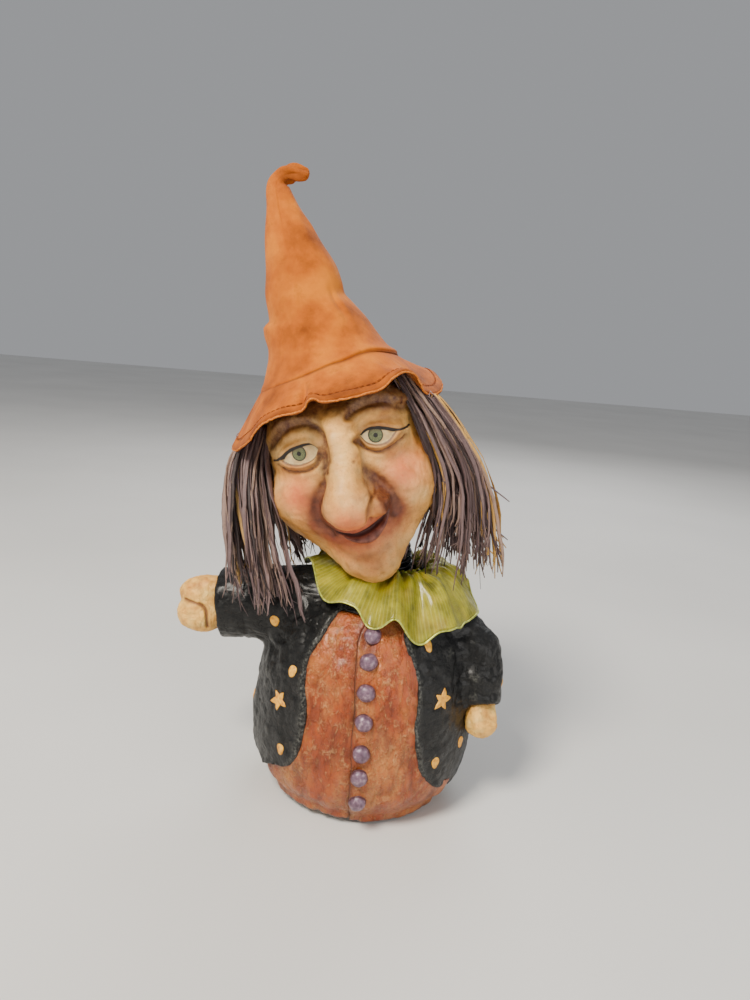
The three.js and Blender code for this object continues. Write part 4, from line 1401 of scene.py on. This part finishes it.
def make_hair(name, node, route, count, seed, paint, lengths, strays=(), golden=2.0):
    """Strands of raffia. route(a, b, t) gives the path of the strand whose place in the bundle is a, b.

    Past the place that golden names, most strands are left undyed.
    """
    chance = np.random.default_rng(seed)
    parts = []
    steps = 26
    for _ in range(count):
        a, b = chance.uniform(-1, 1, 2)
        end = chance.uniform(*lengths)
        width = chance.uniform(1.3, 3.9) * (0.6 + 0.4 * chance.random())
        tone = float(np.clip(chance.normal(0.42, 0.2), 0, DYED_END))
        if chance.random() < (0.6 if a > golden else 0.035):
            tone = chance.uniform(0.85, 1.0)
        t = np.linspace(0, end, steps)
        drift = chance.normal(0, 1, 2)
        path = route(a, b, t, drift)
        wave = chance.uniform(0, 2 * np.pi, 3)
        sway = np.stack([np.sin(5.5 * t + wave[0]), np.sin(4.5 * t + wave[1]), 0 * t], axis=1)
        kinks = np.cumsum(chance.normal(0, 0.42, (steps, 3)), axis=0) * vec(1, 0.8, 0.2)
        path = under_brim(path + sway * (1.5 * t)[:, None] + kinks * t[:, None])
        spin = wave[2] + chance.uniform(-3.5, 3.5) * t
        across = np.stack([np.cos(spin), np.sin(spin) * 0.7, 0 * t], axis=1)
        parts.append(ribbon(path, width, across, tone))
        tail = path[-1] - path[-3]
        for _ in range(int(chance.integers(1, 4))):
            spread = chance.normal(0, 1.0, 3) * vec(1, 0.7, 0.25)
            reach = chance.uniform(0.4, 1.6)
            mid = path[-2] + 0.5 * reach * tail + 0.5 * spread
            tip = path[-2] + reach * tail + 1.7 * spread
            fray = spline([path[-4], path[-2], mid, tip], 7)
            thin, faces = tube_parts(fray, np.linspace(0.5, 0.2, 7) * min(width, 2.4) / 1.6, 4, 0.4)
            parts.append((thin, faces, tone))
    for line in strays:
        across = np.tile(vec(0.4, 0.8, 0.3), (steps, 1))
        parts.append(ribbon(spline(line, steps), 1.5, across, 0.35))
    return finish_piece(joined(name, parts, "strand"), "head", [node], paint)


def bundle(points, half_widths, flatness):
    """A route through a bundle that follows a curve and widens along it."""
    line = spline(points, 60)
    keys = np.linspace(0, 1, 60)

    def route(a, b, t, drift):
        centre = np.stack([np.interp(t, keys, line[:, k]) for k in range(3)], axis=1)
        beyond = np.maximum(t - 1, 0)[:, None] * (line[-1] - line[-6]) * 12
        half = np.interp(t, np.linspace(0, 1, len(half_widths)), half_widths)
        lock = np.round(2.4 * a) / 2.4
        side = a + 0.55 * t**2 * (lock - a) + 0.26 * drift[0] * t
        deep = b + 0.25 * drift[1] * t
        return centre + beyond + np.stack([half * side, half * flatness * deep, -1.5 * np.abs(b) * t], axis=1)

    return route


def back_route(a, b, t, drift):
    """Strands that hang down the back of the head from under the brim."""
    angle = np.radians(180 + 97 * a) + 0.09 * drift[0] * t
    z = 29 - 76 * t - 4 * b * t
    level = np.maximum(z, -14)
    width = 44.5 * np.sqrt(np.maximum(1 - ((level - 4) / 46) ** 2, 0.05))
    depth = 49 * np.sqrt(np.maximum(1 - ((level - 6) / 48) ** 2, 0.05))
    gap = 3.2 + 2.6 * (b + 1) * np.minimum(t + 0.25, 1) + 0.8 * drift[1] * t
    x = (width + gap) * np.sin(angle)
    y = -(depth + gap) * np.cos(angle)
    return from_head(np.stack([x, y, z], axis=1))


def make_all_hair(paint):
    left = bundle(LEFT_HAIR, LEFT_HAIR_WIDTHS, 0.6)
    make_hair("raffia_left", "hair_left", left, 105, 5, paint, (0.82, 1.03))
    right = bundle(RIGHT_HAIR, RIGHT_HAIR_WIDTHS, 0.6)
    make_hair("raffia_right", "hair_right", right, 170, 6, paint, (0.84, 1.06), STRAYS, 0.78)
    make_hair("raffia_back", "hair_back", back_route, 230, 7, paint, (0.9, 1.08))


# ---- hat ----


def seam_lift(angle):
    line = spline(SEAM_LIFT, 400)
    return np.interp(wrapped(np.degrees(angle)), line[:, 0], line[:, 1])


def crown_point(t, angle, inset=0.0):
    """A point of the crown: t runs from the seam to the tip, angle from the front towards +X."""
    line = spline(CROWN_PATH, 400)
    keys = np.linspace(0, 1, 400)
    tangent = unit(np.gradient(line, axis=0))
    centre = np.stack([np.interp(t, keys, line[:, k]) for k in range(3)], axis=-1)
    along = unit(np.stack([np.interp(t, keys, tangent[:, k]) for k in range(3)], axis=-1))
    side = unit(np.cross(np.broadcast_to(vec(0, 1, 0), along.shape), along))
    front = -np.cross(along, side)
    radius_line = spline([(i / (len(CROWN_RADIUS) - 1), r) for i, r in enumerate(CROWN_RADIUS)], 300)
    radius = np.interp(t, radius_line[:, 0], radius_line[:, 1])
    radius = radius - np.minimum(inset, 0.55 * radius)
    radius = radius * np.sqrt(np.maximum(1 - np.maximum((t - 0.975) / 0.025, 0) ** 2, 0.02))
    z = centre[..., 2]
    flat = np.stack([angle * 30, z, 0 * z], axis=-1).reshape(-1, 3)
    soft = (0.9 * lumps(flat, 26, 51) + 0.4 * lumps(flat, 11, 52)).reshape(z.shape)
    left, right, fold = (away_from(angle, degrees) for degrees in (-88, 78, 48))
    step = z + 3 * left
    pinch = 2.3 * smooth_step(step, 68, 77) * smooth_step(step, 81, 78.6)
    pinch = pinch - 1.7 * smooth_step(step, 79, 81) * smooth_step(step, 95, 83)
    dent = pinch * bell(left, 0.75)
    dent = dent + 0.8 * bell(z - 97, 8) * bell(right, 0.7) - 0.9 * bell(z - 85, 4) * bell(right, 0.8)
    dent = dent - 1.1 * bell(fold, 0.05) * bell(z - 78, 9) + 0.6 * bell(fold - 0.14, 0.08) * bell(z - 78, 9)
    twist = 0.9 * np.sin(2 * angle + 26 * t) + 0.5 * np.sin(5 * angle - 31 * t)
    dent = dent + smooth_step(t, 0.72, 0.84) * twist * np.minimum(radius / 4, 1)
    tuck = 1.1 * bell(z - 46.5, 2.6) - 0.5 * smooth_step(z, 46.2, 44.2)
    flatten = 1 - 0.45 * smooth_step(t, 0.66, 0.8)
    swell = (soft * np.minimum(radius / 12, 1) + dent + np.where(t < 0.3, tuck, 0))[..., None]
    across = np.sin(angle)[..., None] * side * (radius[..., None] + swell)
    deep = np.cos(angle)[..., None] * front * (radius[..., None] + swell) * flatten[..., None]
    lift = seam_lift(angle) * smooth_step(t, 0.16, 0)
    return centre + across + deep + lift[..., None] * vec(0, 0, 1), swell[..., 0]


def make_crown(paint):
    rows, columns = 200, 144
    t = np.linspace(0, 1, rows)[:, None]
    angle = np.linspace(0, 2 * np.pi, columns, endpoint=False)[None, :]
    t, angle = t + 0 * angle, angle + 0 * t
    outside, swell = crown_point(t, angle)
    inside, _ = crown_point(t, angle, 1.5)
    made = slab("hat_crown_cloth", from_head(outside), from_head(inside), wrap=True)
    # Painted shadow along the foot of the crown where it laps over the brim, and painted shade in the dents;
    # darker towards the tip.
    shade_and_wash = 0.8 * smooth_step(t, 0.022, 0.0) + 0.35 * np.clip(-swell / 3, 0, 1)
    shade_and_wash = shade_and_wash + 0.3 * smooth_step(t, 0.6, 0.95)
    seam = away_from(angle, 170) * 20
    shade_and_wash = shade_and_wash + 0.5 * bell(seam, 0.7) * (t < 0.8)
    # The inner face gets a flat painted shade.
    paint_field(made, "shade_and_wash", np.concatenate([np.clip(shade_and_wash, 0, 0.9).ravel(), np.full(rows * columns, 0.5)]))
    finish_piece(made, "head", ["hat_crown"], paint)


# The brim's edge, from the front towards +X: angle in degrees, reach, height in the head's frame.
BRIM_EDGE = [
    (-180, 59, 31), (-150, 60, 29), (-125, 60.5, 24), (-105, 61, 20.5), (-86, 61.5, 20.4), (-70, 58.5, 19.2),
    (-58, 57.5, 20.4), (-45, 58, 23.4), (-33, 58, 30), (-20, 58, 32.8), (-9.5, 58, 32.9), (-5.5, 57.6, 36.2),
    (-1, 57.6, 37.4), (4, 58, 34.8), (14, 58.5, 33.8), (24, 58.5, 33.9), (32, 58.3, 34.2), (40, 57.5, 37.6),
    (47, 57, 39), (52, 57, 37.6), (55.5, 57.2, 35), (58, 57, 30), (60.5, 56.4, 26.4), (66, 56.4, 24.2),
    (74, 56.6, 23.4), (84, 57, 24.2), (94, 57.4, 26), (104, 57.8, 28.4), (118, 58.5, 32.5), (140, 58, 33),
    (160, 58.5, 32), (180, 59, 31),
]


def brim_point(angle, share):
    """A point of the brim: share runs from the seam out to the edge."""
    edge = spline(BRIM_EDGE, 800)
    degrees = wrapped(np.degrees(angle))
    reach = np.interp(degrees, edge[:, 0], edge[:, 1])
    height = np.interp(degrees, edge[:, 0], edge[:, 2])
    calm_height = sum(np.interp(wrapped(degrees + d), edge[:, 0], edge[:, 2]) for d in (-15.0, 0, 15.0)) / 3
    grow = smooth_step(share, 0.35, 1.0)
    target = calm_height + (height - calm_height) * grow
    r = SEAM_RADIUS - 0.6 + (reach - SEAM_RADIUS + 0.6) * share
    z = SEAM_Z + 1.2 + (target - SEAM_Z - 1.2) * share**1.25
    z = z + seam_lift(angle) * (1 - np.clip(share, 0, 1)) ** 1.3
    pleat = (degrees + 8.5) - 2.5 * share
    z = z - 1.5 * bell(pleat, 1.8) * smooth_step(share, 0.15, 0.6)
    r = r - 1.4 * bell(pleat, 1.6) * smooth_step(share, 0.15, 0.6)
    r = r + 1.0 * bell(pleat + 3.4, 2.4) * smooth_step(share, 0.15, 0.6)
    rolled = bell(wrapped(degrees + 78), 13) * smooth_step(share, 0.72, 1.0)
    r = r + 0.8 * rolled
    z = z - 1.6 * rolled
    for ear, strength in ((-75, 6.5), (82, 6.0)):
        near = bell(wrapped(degrees - ear), 15)
        z = z - near * strength * np.sin(np.pi * share) * 0.35
    return np.stack([-2 + r * np.sin(angle), -r * np.cos(angle), z], axis=-1)


def make_brim(cloth, edge_thread, stitch_thread):
    rows, columns = 46, 720
    angle = np.linspace(0, 2 * np.pi, columns, endpoint=False)[None, :]
    share = np.linspace(0, 1, rows)[:, None]
    angle, share = angle + 0 * share, share + 0 * angle
    middle = brim_point(angle, share)
    flat = middle.reshape(-1, 3)
    soft = (0.5 * lumps(flat, 12, 61) + 0.2 * lumps(flat, 5, 62)).reshape(rows, columns)
    hem = 0.5 * smooth_step(share, 0.84, 0.87) - 0.35 * bell(share - 0.85, 0.02)
    top = middle + (soft * share + hem)[..., None] * vec(0, 0, 1) + vec(0, 0, CLOTH_HALF)
    foot = middle + (soft * share)[..., None] * vec(0, 0, 1) - vec(0, 0, CLOTH_HALF)
    made = slab("hat_brim_cloth", from_head(top), from_head(foot), wrap=True)
    # A dark line along the stitched hem, painted shadow next to the crown's seam, and darker from the hem out
    # to the raw edge.
    shade_and_wash = 0.7 * bell(share - 0.85, 0.022) + 0.75 * bell(share, 0.05) + 0.35 * smooth_step(share, 0.86, 1.0)
    # Painted shade over the underside, deeper near the head.
    under = 0.55 + 0.25 * (1 - share)
    paint_field(made, "shade_and_wash", np.concatenate([np.clip(shade_and_wash, 0, 0.9).ravel(), under.ravel()]))
    finish_piece(made, "head", ["hat_brim"], cloth)

    turn = np.linspace(0, 2 * np.pi, 901)
    frayed = brim_point(turn, np.full(901, 1.0))
    frayed = frayed + np.stack([lumps(frayed, 1.6, 63 + k) for k in range(3)], axis=1) * 0.3
    cord = joined("hat_raw_edge", [tube_parts(from_head(frayed), 0.5, 6)])
    finish_piece(cord, "head", [], edge_thread)

    stitches = []
    count = 112
    arch = np.sin(np.linspace(0, np.pi, 6))[:, None] * vec(0, 0, 0.25)
    for k in range(count):
        start = 2 * np.pi * k / count
        run = np.linspace(start, start + 2 * np.pi / count * 0.66, 6)
        line = brim_point(run, np.full(6, 0.85)) + vec(0, 0, 1.1) + arch
        stitches.append(tube_parts(from_head(line), 0.2, 5))
    sewn = joined("hat_hem_stitches", stitches)
    finish_piece(sewn, "head", [], stitch_thread)


# ---- what stays from the CAD model ----


def dress_frame():
    upright = (1, 1, 0.2)
    pine = [(120, 84, 50), (168, 126, 80), (196, 156, 106)]
    wood = rough_paint("turned_wood", pine, 5, 0.15, (0.5, 0.75), upright)
    plaster = rough_paint("cast_plaster", [(196, 190, 178), (224, 220, 210)], 4, 0.3)
    paper = newsprint_paint()
    wire = metal_paint("galvanised_wire", (96, 98, 102), (170, 172, 176), 0.9)
    dark_wood = rough_paint("stained_dowel", [(20, 17, 16), (42, 34, 30)], 4, 0.12, (0.4, 0.65), upright)
    dressed = {
        "base_disc": wood, "ballast_block": plaster, "body_core": paper, "body_shell": paper,
        "head_core": paper, "raised_arm_wire": wire, "lowered_arm_wire": wire, "neck_plug": dark_wood,
        "head_plug": dark_wood,
    }
    for name, paint in dressed.items():
        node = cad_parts[name]
        node.data.materials.clear()
        node.data.materials.append(paint)


# ---- studio ----


def make_camera():
    """Looks slightly down at the figure, with a small roll."""
    roll, pitch = math.radians(CAMERA_ROLL), math.radians(CAMERA_PITCH)
    level = Vector((1, 0, 0))
    up = Vector((0, math.sin(pitch), math.cos(pitch)))
    ahead = Vector((0, math.cos(pitch), -math.sin(pitch)))
    right = math.cos(roll) * level + math.sin(roll) * up
    top = -math.sin(roll) * level + math.cos(roll) * up
    data = bpy.data.cameras.new("camera")
    data.lens = CAMERA_LENS
    data.sensor_width = 36
    data.clip_start = 0.01
    camera = bpy.data.objects.new("camera", data)
    turned = Matrix((right, top, -ahead)).transposed().to_4x4()
    camera.matrix_world = Matrix.Translation(Vector(CAMERA_AT) * MM) @ turned
    bpy.context.scene.collection.objects.link(camera)
    bpy.context.scene.camera = camera


def make_light(name, at, aim, size, power, tint):
    data = bpy.data.lights.new(name, "AREA")
    data.shape = "DISK"
    data.size = size
    data.energy = power
    data.color = tint
    light = bpy.data.objects.new(name, data)
    light.location = at
    light.rotation_euler = (Vector(aim) - Vector(at)).to_track_quat("-Z", "Y").to_euler()
    bpy.context.scene.collection.objects.link(light)


def make_studio():
    reach = FLOOR_REACH
    corners = [(-reach, -reach, -FLOOR_DROP), (reach, -reach, -FLOOR_DROP)]
    corners += [(reach, reach, -FLOOR_DROP), (-reach, reach, -FLOOR_DROP)]
    floor = make_object("studio_floor", corners, [(0, 1, 2, 3)])
    p = Paint("pale_floor", Roughness=0.85)
    tint = p.ramp(p.noise(300, 2), (0.3, (214, 213, 210)), (0.7, (222, 221, 218)))
    p.feed(p.shader.inputs["Base Color"], tint)
    floor.data.materials.append(p.material)
    for light in LIGHTS:
        make_light(*light)
    world = bpy.data.worlds.new("studio")
    world.use_nodes = True
    background = world.node_tree.nodes["Background"].inputs
    background["Color"].default_value = colour(214, 216, 220)
    background["Strength"].default_value = WORLD_STRENGTH
    bpy.context.scene.world = world


make_camera()
make_studio()
dress_frame()
make_head(skin_paint())
make_jacket(jacket_paint())
make_marks(gold_paint())
make_vest(vest_paint())
make_buttons(button_paint())
make_hands(hand_paint())
make_spring(metal_paint("black_spring_steel", (12, 12, 14), (40, 40, 44), 0.7))
stitching = thread_paint("stitch_thread", (112, 50, 10), (160, 80, 24))
make_collar(organza_paint(), foil_paint(), thread_paint("gather_thread", (96, 106, 24), (150, 160, 60)))
make_all_hair(raffia_paint())
cloth = hat_cloth()
make_crown(cloth)
make_brim(cloth, thread_paint("raw_edge_fibres", (176, 84, 14), (222, 138, 56)), stitching)
